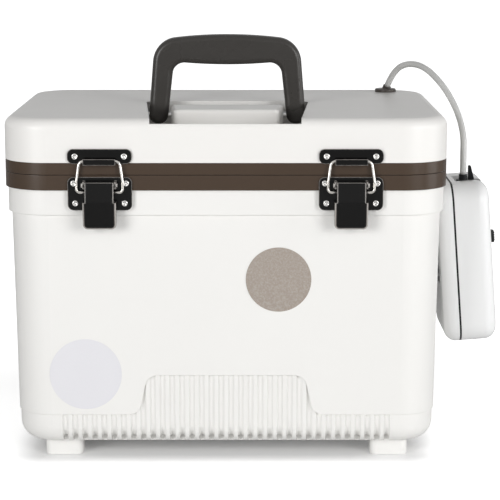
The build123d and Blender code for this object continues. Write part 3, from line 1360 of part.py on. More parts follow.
SWITCH_BLOCK_TOP = PUMP_FRONT_DEPTH - PUMP_WALL - 2 * KNOB_GAP
with BuildPart() as switch_block:
    with BuildSketch(PUMP.offset(SWITCH_BLOCK_TOP - SWITCH_BLOCK_DEPTH)):
        with Locations((0, SWITCH_RISE - SWITCH_TRAVEL / 2)):
            Rectangle(
                SWITCH_SLOT_WIDTH + 2 * SWITCH_BLOCK_MARGIN, SWITCH_SLOT_LENGTH + 2 * SWITCH_BLOCK_MARGIN
            )
    extrude(amount=SWITCH_BLOCK_DEPTH)
save(switch_block.part, "switch_block")

# ---- batteries and their contacts
with BuildPart() as batteries:
    for side in (-1, 1):
        add(battery(side))
save(batteries.part, "batteries")

with BuildPart() as battery_contacts:
    for low in (BATTERY_FOOT_V - CONTACT_SHEET, BATTERY_FOOT_V + BATTERY_LENGTH + BATTERY_CAP):
        with BuildSketch(PUMP.offset(BATTERY_N - BATTERY_RADIUS / 2)):
            with Locations((0, low + CONTACT_SHEET / 2)):
                Rectangle(BATTERY_RADIUS * 3, CONTACT_SHEET)
        extrude(amount=BATTERY_RADIUS)
save(battery_contacts.part, "battery_contacts")

# ---- motor, cam, diaphragm and pump head on their chassis
with BuildPart() as motor:
    add(across_pump(MOTOR_RADIUS, CAM_V, CAM_N, MOTOR_Y, MOTOR_Y + MOTOR_LENGTH))
    add(across_pump(MOTOR_RADIUS / 3, CAM_V, CAM_N, MOTOR_Y + MOTOR_LENGTH, MOTOR_Y + MOTOR_LENGTH + 2))
    add(across_pump(SHAFT_RADIUS + RUNNING_CLEARANCE, CAM_V, CAM_N, SHAFT_START, 0), mode=Mode.SUBTRACT)
save(motor.part, "motor")

with BuildPart() as drive_cam:
    add(across_pump(SHAFT_RADIUS, CAM_V, CAM_N, SHAFT_START + 1, CAM_Y))
    add(across_pump(CAM_RADIUS, CAM_V, CAM_N, CAM_Y, CAM_Y + CAM_THICKNESS))
    add(across_pump(CRANK_PIN_RADIUS, CAM_V + CAM_THROW, CAM_N, CAM_Y + CAM_THICKNESS, YOKE_SHEET / 2 + 1))
save(drive_cam.part, "drive_cam")

DIAPHRAGM_V = CAM_V + YOKE_RADIUS + YOKE_STEM
with BuildPart() as diaphragm:
    add(across_pump(YOKE_RADIUS, CAM_V, CAM_N, -YOKE_SHEET / 2, YOKE_SHEET / 2))
    add(across_pump(YOKE_RADIUS - 2, CAM_V, CAM_N, -YOKE_SHEET, YOKE_SHEET), mode=Mode.SUBTRACT)
    add(along_pump(YOKE_STEM_RADIUS, 0, CAM_N, CAM_V + YOKE_RADIUS - 1, DIAPHRAGM_V))
    add(along_pump(HEAD_RADIUS - 1, 0, CAM_N, DIAPHRAGM_V, DIAPHRAGM_V + DIAPHRAGM_SHEET))
save(diaphragm.part, "diaphragm")

HEAD_FOOT_V = DIAPHRAGM_V + DIAPHRAGM_SHEET
with BuildPart() as pump_head:
    add(along_pump(HEAD_RADIUS, 0, CAM_N, HEAD_FOOT_V, HEAD_FOOT_V + HEAD_HEIGHT))
    add(along_pump(NOZZLE_STEM_RADIUS, 0, CAM_N, HEAD_FOOT_V + HEAD_HEIGHT, HEAD_FOOT_V + HEAD_HEIGHT + 2))
    add(
        along_pump(AIR_BORE_RADIUS, 0, CAM_N, HEAD_FOOT_V + 2, HEAD_FOOT_V + HEAD_HEIGHT + 2),
        mode=Mode.SUBTRACT,
    )
save(pump_head.part, "pump_head")

with BuildPart() as pressure_tube:
    head_spigot = PUMP.from_local_coords((0, HEAD_FOOT_V + HEAD_HEIGHT + 2, CAM_N))
    with BuildSketch(Plane(origin=head_spigot, z_dir=PUMP.y_dir)):
        Circle(NOZZLE_STEM_RADIUS)
        Circle(AIR_BORE_RADIUS, mode=Mode.SUBTRACT)
    with BuildSketch(Plane(origin=NOZZLE_FOOT, z_dir=(0, 0, 1))):
        Circle(NOZZLE_STEM_RADIUS)
        Circle(AIR_BORE_RADIUS, mode=Mode.SUBTRACT)
    loft()
save(pressure_tube.part, "pressure_tube")

with BuildPart() as pump_chassis:
    with BuildSketch(PUMP.offset(CHASSIS_N)):
        with Locations(((CHASSIS_LOW_Y + CHASSIS_HIGH_Y) / 2, (CHASSIS_LOW_V + CHASSIS_HIGH_V) / 2)):
            Rectangle(CHASSIS_HIGH_Y - CHASSIS_LOW_Y, CHASSIS_HIGH_V - CHASSIS_LOW_V)
    extrude(amount=CHASSIS_SHEET)
    with BuildSketch(PUMP.offset(CHASSIS_N + CHASSIS_SHEET)):
        with Locations((MOTOR_Y + MOTOR_LENGTH / 2, CAM_V)):
            Rectangle(MOTOR_LENGTH - 4, MOTOR_RADIUS * 1.5)
        with Locations((0, HEAD_FOOT_V + HEAD_HEIGHT / 2)):
            Rectangle(HEAD_RADIUS * 1.5, HEAD_HEIGHT - 1)
    extrude(amount=CAM_N - CHASSIS_N - CHASSIS_SHEET - MOTOR_RADIUS / 2)
    add(across_pump(MOTOR_RADIUS, CAM_V, CAM_N, MOTOR_Y, MOTOR_Y + MOTOR_LENGTH), mode=Mode.SUBTRACT)
    add(along_pump(HEAD_RADIUS, 0, CAM_N, HEAD_FOOT_V, HEAD_FOOT_V + HEAD_HEIGHT), mode=Mode.SUBTRACT)
save(pump_chassis.part, "pump_chassis")

# ---- air line: hose from the pump to the lid, grommet, hose inside, air stone
with BuildPart() as hose_grommet:
    with BuildSketch(Plane.XY.offset(LID_TOP)):
        with Locations((GROMMET_X, GROMMET_Y)):
            Circle(GROMMET_RADIUS)
    extrude(amount=GROMMET_HEAD)
    fillet(hose_grommet.faces().sort_by(Axis.Z)[-1].edges(), GROMMET_HEAD * 0.4)
    add(cylinder(GROMMET_NECK_RADIUS, (GROMMET_X, GROMMET_Y, SEAM), (0, 0, 1), LID_TOP - SEAM))
    add(cylinder(SPIGOT_RADIUS, (GROMMET_X, GROMMET_Y, LID_TOP + 1), SPIGOT_DIRECTION, SPIGOT_LENGTH))
    add(
        cylinder(AIR_BORE_RADIUS, (GROMMET_X, GROMMET_Y, SEAM), (0, 0, 1), LID_TOP + 1 - SEAM),
        mode=Mode.SUBTRACT,
    )
    add(cylinder(AIR_BORE_RADIUS, (GROMMET_X, GROMMET_Y, LID_TOP + 1), SPIGOT_DIRECTION, SPIGOT_LENGTH),
        mode=Mode.SUBTRACT)
save(hose_grommet.part, "hose_grommet")

for name, points in (("air_hose", OUTER_HOSE), ("inner_hose", INNER_HOSE)):
    radii = bend_radii(points)
    with BuildPart() as hose:
        with BuildLine() as route:
            FilletPolyline(*points, radius=radii)
        with BuildSketch(Plane(origin=route.line @ 0, z_dir=route.line % 0)):
            Circle(HOSE_RADIUS)
        sweep(path=route.line)
    length = sum(edge.length for edge in route.edges())
    print(name, "length", round(length, 1), "radii", [round(r, 1) for r in radii],
          "volume / (section x length)", round(hose.part.volume / (pi * HOSE_RADIUS**2 * length), 4))
    save(hose.part, name)

with BuildPart() as air_stone:
    stone_axis = (Vector(*INNER_HOSE[-1]) - Vector(*INNER_HOSE[-2])).normalized()
    with BuildSketch(Plane(origin=INNER_HOSE[-1], z_dir=stone_axis)):
        Circle(STONE_RADIUS)
    extrude(amount=STONE_LENGTH)
    fillet(air_stone.edges().filter_by(GeomType.CIRCLE), STONE_RADIUS * 0.2)
save(air_stone.part, "air_stone")
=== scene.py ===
"""Aerated bait bucket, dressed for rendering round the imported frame.

Every length is in metres, +Z is up and the front with its latches faces -Y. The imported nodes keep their
places. This file gives them their finishes and adds the hoses, the fasteners and the small moulded detail.
"""
from __future__ import annotations

import json
import logging
import math
from collections.abc import Iterable, Sequence
from dataclasses import dataclass, fields
from enum import Enum

import bmesh
import bpy
from mathutils import Matrix, Vector

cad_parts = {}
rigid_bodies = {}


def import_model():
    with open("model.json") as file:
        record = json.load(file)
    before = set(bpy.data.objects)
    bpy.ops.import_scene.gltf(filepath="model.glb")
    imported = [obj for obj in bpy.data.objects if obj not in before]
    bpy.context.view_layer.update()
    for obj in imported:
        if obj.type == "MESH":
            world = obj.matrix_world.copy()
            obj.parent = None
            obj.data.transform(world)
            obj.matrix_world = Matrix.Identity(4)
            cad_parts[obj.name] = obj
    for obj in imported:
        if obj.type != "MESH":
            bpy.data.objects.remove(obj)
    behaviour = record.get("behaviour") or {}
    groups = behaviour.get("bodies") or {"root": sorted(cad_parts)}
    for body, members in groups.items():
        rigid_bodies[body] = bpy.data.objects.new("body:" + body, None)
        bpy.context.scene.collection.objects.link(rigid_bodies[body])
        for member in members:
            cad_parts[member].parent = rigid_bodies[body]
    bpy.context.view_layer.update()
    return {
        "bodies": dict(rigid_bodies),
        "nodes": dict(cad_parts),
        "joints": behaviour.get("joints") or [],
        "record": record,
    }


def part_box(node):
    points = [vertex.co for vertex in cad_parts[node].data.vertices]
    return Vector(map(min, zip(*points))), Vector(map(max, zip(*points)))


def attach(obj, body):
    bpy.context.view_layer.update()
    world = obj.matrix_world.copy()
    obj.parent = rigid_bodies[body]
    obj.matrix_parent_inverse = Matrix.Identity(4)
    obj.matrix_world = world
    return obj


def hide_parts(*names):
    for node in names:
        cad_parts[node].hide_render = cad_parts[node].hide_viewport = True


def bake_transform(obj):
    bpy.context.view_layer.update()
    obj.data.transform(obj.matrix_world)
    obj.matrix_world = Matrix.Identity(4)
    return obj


LOG = logging.getLogger("bait_bucket")

Point = tuple[float, float, float]
Colour = tuple[float, float, float]
Rgba = tuple[float, float, float, float]
Socket = bpy.types.NodeSocket

MM = 0.001
WELD = 1e-7  # points nearer than this are one
FOOTPRINT: Point = (0.145, 0.100, 0.0)  # half the ground that the feet stand on
AHEAD: Point = (0.0, -1.0, 0.0)
BEHIND: Point = (0.0, 1.0, 0.0)


def metres(point: Point) -> Point:
    """Returns a point that is given in millimetres."""
    return tuple(c * MM for c in point)


def shaded(colour: Colour, share: float = 1.0) -> Rgba:
    """Returns a colour made darker or lighter by a share, as red, green, blue and a full alpha."""
    return tuple(min(1.0, c * share) for c in colour) + (1.0,)


class Hand(Enum):
    """The two sides that a draw latch can be on."""

    LEFT = "left"
    RIGHT = "right"


class Grain(Enum):
    """Surface grains of moulded plastic: bumps per metre and their height in metres."""

    SATIN = (3170.0, 0.000012)
    LEATHERY = (2310.0, 0.000025)
    SMOOTH = (430.0, 0.000006)
    STIPPLED = (3700.0, 0.00004)

    @property
    def scale(self) -> float:
        """Bumps per metre."""
        return self.value[0]

    @property
    def height(self) -> float:
        """Height of the bumps in metres."""
        return self.value[1]


class NodeSheet:
    """A small helper that lays out one material's shader nodes."""

    def __init__(self, name: str) -> None:
        """Starts an empty node tree.

        Args:
            name: the material's name.
        """
        self.material = bpy.data.materials.new(name)
        self.material.use_nodes = True
        self.tree = self.material.node_tree
        self.tree.nodes.clear()
        self.output = self.tree.nodes.new("ShaderNodeOutputMaterial")

    def node(self, kind: str, inputs: dict | None = None, **settings: str | int) -> bpy.types.Node:
        """Adds a node.

        Args:
            kind: the node's type name without its "ShaderNode" prefix.
            inputs: socket name or number to a value, or to a socket that is linked to it.
            **settings: properties set on the node itself.

        Returns:
            The new node.
        """
        made = self.tree.nodes.new("ShaderNode" + kind)
        for key, value in settings.items():
            setattr(made, key, value)
        for key, value in (inputs or {}).items():
            if isinstance(value, Socket):
                self.tree.links.new(value, made.inputs[key])
            else:
                made.inputs[key].default_value = value
        return made

    def place(self) -> Socket:
        """Returns the Object coordinates, which are metres in the shared frame."""
        return self.node("TexCoord").outputs["Object"]

    def noise(self, place: Socket, scale: float, detail: float, roughness: float = 0.5) -> Socket:
        """Returns a noise from 0 to 1 whose scale is in features per metre and whose detail is in layers."""
        inputs = {"Vector": place, "Scale": scale, "Detail": detail, "Roughness": roughness}
        return self.node("TexNoise", inputs).outputs["Fac"]

    def spread(
        self, value: Socket, span: tuple[float, float], reach: tuple[float, float], **settings: str | int
    ) -> Socket:
        """Maps a value from one range to another and keeps it inside.

        Args:
            value: what is mapped.
            span: the values that give the two ends.
            reach: the two ends.
            **settings: properties set on the node itself.

        Returns:
            The mapped value.
        """
        inputs = {
            "Value": value,
            "From Min": span[0],
            "From Max": span[1],
            "To Min": reach[0],
            "To Max": reach[1],
        }
        return self.node("MapRange", inputs, **settings).outputs["Result"]

    def ramp(self, value: Socket, low: Rgba, high: Rgba, span: tuple[float, float] = (0.0, 1.0)) -> Socket:
        """Blends two colours.

        Args:
            value: what the blend follows.
            low: the colour at the span's start.
            high: the colour at its end.
            span: where the blend starts and ends.

        Returns:
            The blended colour.
        """
        made = self.node("ValToRGB", {"Fac": value})
        first, last = made.color_ramp.elements
        first.position = span[0]
        first.color = low
        last.position = span[1]
        last.color = high
        return made.outputs["Color"]

    def calc(self, operation: str, *values: Socket | float) -> Socket:
        """Returns the result of one Math node."""
        return self.node("Math", dict(enumerate(values)), operation=operation).outputs[0]

    def vector(self, operation: str, *values: Socket | Point) -> bpy.types.Node:
        """Returns one Vector Math node."""
        return self.node("VectorMath", dict(enumerate(values)), operation=operation)

    def finish(self, shader: bpy.types.Node) -> bpy.types.Material:
        """Links a shader to the output and returns the material."""
        self.tree.links.new(shader.outputs[0], self.output.inputs["Surface"])
        return self.material


@dataclass(frozen=True)
class MouldedPlastic:
    """Injection-moulded plastic with a fine grain, a faint cloudiness and edges mixed towards a second
    colour: rubbed where that colour is darker than the plastic, and a painted highlight where it is lighter.

    The edge is the width in metres that the rubbing and the painted highlight reach, the strength of the edge
    colour how far it shows, and rim how bright the painted highlight on the rounded edges of a pressing is.
    Scales are features per metre.
    """

    name: str
    colour: Colour
    roughness: float
    specular: float
    grain: Grain
    cloud: float
    cloud_scale: float = 9.0
    edge: float = 0.0006
    # share of the edge colour: rubbing on pale parts, a painted highlight on dark ones
    wear: float = 0.25
    worn_colour: Colour = (0.6, 0.59, 0.57)
    # brightness of the painted highlight on rounded rims
    rim: float = 0.0
    rub_scale: float = 160.0
    sheen_scale: float = 40.0
    sheen_change: float = 0.12
    grain_strength: float = 0.6
    edge_samples: int = 6
    middling: tuple[float, float] = (0.15, 0.85)  # the part of a noise that clouds and sheen follow
    ridge_turn: tuple[float, float] = (0.97, 0.8)  # cosines, from nearly flat to a turned edge
    rub_patch: tuple[float, float] = (0.30, 0.58)  # the noise where the rubbing and the painted highlight begin and are full
    rim_turn: tuple[float, float] = (0.95, 0.75)  # cosines with the Y axis, from a flat to its painted highlight rim
    rim_wall: tuple[float, float] = (0.1, 0.4)  # the same, from a side wall without painted highlight to its rim

    def polished_rims(self, sheet: NodeSheet, soft: bpy.types.Node) -> Socket:
        """Masks, as a painted highlight, the rounded edges of a pressing whose flats face the piece's own Y
        axis.

        Args:
            sheet: the material's nodes.
            soft: the node whose normal turns smoothly round the edges.

        Returns:
            The painted highlight mask, up to the rim's own brightness.
        """
        own = sheet.node(
            "VectorTransform",
            {"Vector": soft.outputs["Normal"]},
            vector_type="NORMAL",
            convert_from="WORLD",
            convert_to="OBJECT",
        )
        parts = sheet.node("SeparateXYZ", {"Vector": own.outputs["Vector"]})
        facing = sheet.calc("ABSOLUTE", parts.outputs["Y"])
        turned = sheet.spread(facing, self.rim_turn, (0.0, self.rim))
        kept = sheet.spread(facing, self.rim_wall, (0.0, 1.0))
        return sheet.calc("MULTIPLY", turned, kept)

    def worn_edges(self, sheet: NodeSheet, place: Socket, soft: bpy.types.Node) -> Socket:
        """Masks, in patches, the edges that take the second colour, rubbing on pale parts and a painted
        highlight on dark ones, together with the painted rim highlight where there is one.

        Args:
            sheet: the material's nodes.
            place: the Object coordinates.
            soft: the node whose normal turns smoothly round the edges.

        Returns:
            The mask of rubbing and painted highlight, up to its own strength or the rim's.
        """
        flat = sheet.node("NewGeometry")
        turn = sheet.vector("DOT_PRODUCT", soft.outputs["Normal"], flat.outputs["Normal"])
        ridge = sheet.spread(turn.outputs["Value"], self.ridge_turn, (0.0, self.wear))
        patch = sheet.spread(sheet.noise(place, self.rub_scale, detail=5.0), self.rub_patch, (0.0, 1.0))
        rubbed_and_highlit = sheet.calc("MULTIPLY", ridge, patch)
        return sheet.calc("MAXIMUM", rubbed_and_highlit, self.polished_rims(sheet, soft)) if self.rim else rubbed_and_highlit

    def build(self) -> bpy.types.Material:
        """Lays out the finish.

        Returns:
            Its material.
        """
        sheet = NodeSheet(self.name)
        place = sheet.place()
        soft = sheet.node("Bevel", {"Radius": self.edge}, samples=self.edge_samples)
        clouded = sheet.ramp(
            sheet.noise(place, self.cloud_scale, detail=7.0),
            shaded(self.colour, 1 - self.cloud),
            shaded(self.colour, 1 + self.cloud),
            self.middling,
        )
        # edges mixed towards the second colour: rubbing, and a painted highlight where that colour is lighter
        colour = sheet.node(
            "Mix",
            {"Factor": self.worn_edges(sheet, place, soft), "A": clouded, "B": shaded(self.worn_colour)},
            data_type="RGBA",
        )
        dull = sheet.spread(
            sheet.noise(place, self.sheen_scale, detail=4.0),
            self.middling,
            (self.roughness * (1 - self.sheen_change), self.roughness * (1 + self.sheen_change)),
        )
        bump = sheet.node(
            "Bump",
            {
                "Height": sheet.noise(place, self.grain.scale, detail=2.0),
                "Strength": self.grain_strength,
                "Distance": self.grain.height,
                "Normal": soft.outputs["Normal"],
            },
        )
        shader = sheet.node(
            "BsdfPrincipled",
            {
                "Base Color": colour.outputs["Result"],
                "Roughness": dull,
                "Specular IOR Level": self.specular,
                "Normal": bump.outputs["Normal"],
            },
        )
        return sheet.finish(shader)


@dataclass(frozen=True)
class DrawnMetal:
    """Bare or plated metal with drawing or brushing lines along one axis and faint smudges."""

    name: str
    colour: Colour
    roughness: float
    stretch: Point = (1.0, 1.0, 1.0)
    line_scale: float = 900.0
    line_height: float = 0.000012
    line_strength: float = 0.5
    smudge_scale: float = 60.0
    smudge_shade: float = 0.88  # share of the colour that a smudge keeps
    polish: tuple[float, float] = (0.7, 1.4)  # shares of the roughness at a smudge's two ends

    def build(self) -> bpy.types.Material:
        """Lays out the finish.

        Returns:
            Its material.
        """
        sheet = NodeSheet(self.name)
        along = sheet.node("Mapping", {"Vector": sheet.place(), "Scale": self.stretch}).outputs["Vector"]
        smudge = sheet.noise(along, self.smudge_scale, detail=4.0)
        sharp, dull = (self.roughness * share for share in self.polish)
        bump = sheet.node(
            "Bump",
            {
                "Height": sheet.noise(along, self.line_scale, detail=3.0),
                "Strength": self.line_strength,
                "Distance": self.line_height,
            },
        )
        shader = sheet.node(
            "BsdfPrincipled",
            {
                "Base Color": sheet.ramp(smudge, shaded(self.colour, self.smudge_shade), shaded(self.colour)),
                "Metallic": 1.0,
                "Roughness": sheet.spread(smudge, (0.0, 1.0), (sharp, dull)),
                "Normal": bump.outputs["Normal"],
            },
        )
        return sheet.finish(shader)


@dataclass(frozen=True)
class MilkyTube:
    """Soft milky tubing, slightly clouded and rippled."""

    name: str
    colour: Colour
    roughness: float = 0.22
    refraction: float = 1.42
    cloud: float = 0.1
    cloud_scale: float = 70.0
    ripple_scale: float = 150.0
    ripple_height: float = 0.00002
    ripple_strength: float = 0.15

    def build(self) -> bpy.types.Material:
        """Lays out the finish.

        Returns:
            Its material.
        """
        sheet = NodeSheet(self.name)
        place = sheet.place()
        clouded = sheet.ramp(
            sheet.noise(place, self.cloud_scale, detail=4.0),
            shaded(self.colour, 1 - self.cloud),
            shaded(self.colour, 1 + self.cloud),
        )
        bump = sheet.node(
            "Bump",
            {
                "Height": sheet.noise(place, self.ripple_scale, detail=1.0),
                "Strength": self.ripple_strength,
                "Distance": self.ripple_height,
            },
        )
        shader = sheet.node(
            "BsdfPrincipled",
            {
                "Base Color": clouded,
                "Roughness": self.roughness,
                "IOR": self.refraction,
                "Normal": bump.outputs["Normal"],
            },
        )
        return sheet.finish(shader)


@dataclass(frozen=True)
class CastFoam:
    """Rigid foam or sintered stone with small cells."""

    name: str
    colour: Colour
    cell_scale: float
    pit: float
    contrast: float
    roughness: float = 0.85
    specular: float = 0.15

    def build(self) -> bpy.types.Material:
        """Lays out the finish.

        Returns:
            Its material.
        """
        sheet = NodeSheet(self.name)
        cells = sheet.node("TexVoronoi", {"Vector": sheet.place(), "Scale": self.cell_scale})
        depth = cells.outputs["Distance"]
        bump = sheet.node("Bump", {"Height": depth, "Distance": self.pit})
        shader = sheet.node(
            "BsdfPrincipled",
            {
                "Base Color": sheet.ramp(depth, shaded(self.colour, 1 - self.contrast), shaded(self.colour)),
                "Roughness": self.roughness,
                "Specular IOR Level": self.specular,
                "Normal": bump.outputs["Normal"],
            },
        )
        return sheet.finish(shader)


@dataclass(frozen=True)
class PrintedFilm:
    """A thin film printed with one ink that is speckled where it is thin."""

    name: str
    ink: Colour
    base: Colour
    speckle: float
    speckle_scale: float = 620.0
    speckle_crispness: float = 0.7
    thin_ink: tuple[float, float] = (0.42, 0.66)  # the noise where speckles begin and are full
    roughness: float = 0.4
    specular: float = 0.35

    def build(self) -> bpy.types.Material:
        """Lays out the finish.

        Returns:
            Its material.
        """
        sheet = NodeSheet(self.name)
        dryness = sheet.noise(
            sheet.place(), self.speckle_scale, detail=6.0, roughness=self.speckle_crispness
        )
        thin = sheet.spread(dryness, self.thin_ink, (0.0, self.speckle))
        print_colour = sheet.node(
            "Mix", {"Factor": thin, "A": shaded(self.ink), "B": shaded(self.base)}, data_type="RGBA"
        )
        shader = sheet.node(
            "BsdfPrincipled",
            {
                "Base Color": print_colour.outputs["Result"],
                "Roughness": self.roughness,
                "Specular IOR Level": self.specular,
            },
        )
        return sheet.finish(shader)


@dataclass(frozen=True)
class FinishBook:
    """Every finish of the object, made once."""

    shell: MouldedPlastic = MouldedPlastic(
        name="white_shell",
        colour=(0.83, 0.822, 0.80),
        roughness=0.34,
        specular=0.4,
        grain=Grain.SATIN,
        cloud=0.012,
        wear=0.10,
    )
    lid: MouldedPlastic = MouldedPlastic(
        name="white_lid",
        colour=(0.82, 0.807, 0.783),
        roughness=0.34,
        specular=0.4,
        grain=Grain.LEATHERY,
        cloud=0.015,
        wear=0.10,
    )
    liner: MouldedPlastic = MouldedPlastic(
        name="white_liner",
        colour=(0.80, 0.81, 0.80),
        roughness=0.3,
        specular=0.4,
        grain=Grain.SMOOTH,
        cloud=0.01,
        wear=0.10,
    )
    # the band's lighter edge colour is partly rubbing and partly a painted highlight along its edges
    band: MouldedPlastic = MouldedPlastic(
        name="brown_band",
        colour=(0.060, 0.0395, 0.0265),
        roughness=0.25,
        specular=0.3,
        grain=Grain.SATIN,
        cloud=0.06,
        cloud_scale=14.0,
        edge=0.0009,
        wear=0.10,
        worn_colour=(0.30, 0.25, 0.21),
    )
    grip: MouldedPlastic = MouldedPlastic(
        name="grey_grip",
        colour=(0.040, 0.037, 0.034),
        roughness=0.28,
        specular=0.28,
        grain=Grain.SATIN,
        cloud=0.05,
        wear=0.12,
    )
    # the latch's light edge colour and its rim are painted highlights along its edges and rounded rims
    latch: MouldedPlastic = MouldedPlastic(
        name="black_latch",
        colour=(0.0035, 0.0034, 0.0033),
        roughness=0.16,
        specular=0.22,
        grain=Grain.SMOOTH,
        cloud=0.1,
        edge=0.0012,
        wear=0.75,
        worn_colour=(0.50, 0.47, 0.44),
        rim=0.8,
    )
    black: MouldedPlastic = MouldedPlastic(
        name="black_fitting",
        colour=(0.007, 0.008, 0.008),
        roughness=0.34,
        specular=0.22,
        grain=Grain.SATIN,
        cloud=0.1,
    )
    pump: MouldedPlastic = MouldedPlastic(
        name="white_pump",
        colour=(0.88, 0.883, 0.883),
        roughness=0.22,
        specular=0.4,
        grain=Grain.SMOOTH,
        cloud=0.01,
        wear=0.08,
    )
    clip: MouldedPlastic = MouldedPlastic(
        name="white_clip",
        colour=(0.74, 0.75, 0.75),
        roughness=0.35,
        specular=0.35,
        grain=Grain.SATIN,
        cloud=0.02,
        wear=0.08,
    )
    rubber: MouldedPlastic = MouldedPlastic(
        name="black_seal",
        colour=(0.013, 0.014, 0.015),
        roughness=0.6,
        specular=0.25,
        grain=Grain.STIPPLED,
        cloud=0.1,
        edge=0.0003,
    )
    grommet: MouldedPlastic = MouldedPlastic(
        name="brown_grommet",
        colour=(0.060, 0.050, 0.044),
        roughness=0.36,
        specular=0.35,
        grain=Grain.SATIN,
        cloud=0.1,
    )
    seal: MouldedPlastic = MouldedPlastic(
        name="grey_lid_seal",
        colour=(0.16, 0.16, 0.155),
        roughness=0.65,
        specular=0.25,
        grain=Grain.STIPPLED,
        cloud=0.08,
        edge=0.0003,
    )
    inner: MouldedPlastic = MouldedPlastic(
        name="grey_inner",
        colour=(0.35, 0.36, 0.36),
        roughness=0.45,
        specular=0.35,
        grain=Grain.SATIN,
        cloud=0.06,
    )
    wrap: MouldedPlastic = MouldedPlastic(
        name="cell_wrap",
        colour=(0.10, 0.11, 0.13),
        roughness=0.25,
        specular=0.4,
        grain=Grain.SMOOTH,
        cloud=0.15,
    )
    wire: DrawnMetal = DrawnMetal(name="latch_wire", colour=(0.66, 0.635, 0.60), roughness=0.20)
    rivet: DrawnMetal = DrawnMetal(name="rivet_metal", colour=(0.78, 0.77, 0.75), roughness=0.16)
    steel: DrawnMetal = DrawnMetal(
        name="hinge_steel",
        colour=(0.62, 0.62, 0.61),
        roughness=0.28,
        stretch=(0.08, 1.0, 1.0),
        line_scale=1500.0,
    )
    can: DrawnMetal = DrawnMetal(
        name="motor_can",
        colour=(0.55, 0.55, 0.55),
        roughness=0.3,
        stretch=(1.0, 0.1, 1.0),
        line_scale=1200.0,
    )
    tube: MilkyTube = MilkyTube(name="milky_tube", colour=(0.60, 0.60, 0.585))
    foam: CastFoam = CastFoam(
        name="foam", colour=(0.86, 0.82, 0.68), cell_scale=700.0, pit=0.0003, contrast=0.12
    )
    stone: CastFoam = CastFoam(
        name="air_stone", colour=(0.22, 0.27, 0.33), cell_scale=1300.0, pit=0.0006, contrast=0.5
    )
    capacity_film: PrintedFilm = PrintedFilm(
        name="capacity_label", ink=(0.74, 0.735, 0.765), base=(0.80, 0.80, 0.82), speckle=0.15
    )
    badge_film: PrintedFilm = PrintedFilm(
        name="badge_label", ink=(0.335, 0.287, 0.247), base=(0.60, 0.58, 0.55), speckle=0.3
    )


@dataclass(frozen=True)
class Lamp:
    """One soft square lamp: its place, the point that it faces, its side in metres and its watts."""

    name: str
    place: Point
    aim: Point
    size: float
    power: float

    def add(self) -> None:
        """Adds the lamp to the scene."""
        data = bpy.data.lights.new(self.name, "AREA")
        data.shape = "SQUARE"
        data.size = self.size
        data.energy = self.power
        lamp = bpy.data.objects.new(self.name, data)
        lamp.location = self.place
        lamp.rotation_euler = (Vector(self.aim) - Vector(self.place)).to_track_quat("-Z", "Y").to_euler()
        bpy.context.scene.collection.objects.link(lamp)


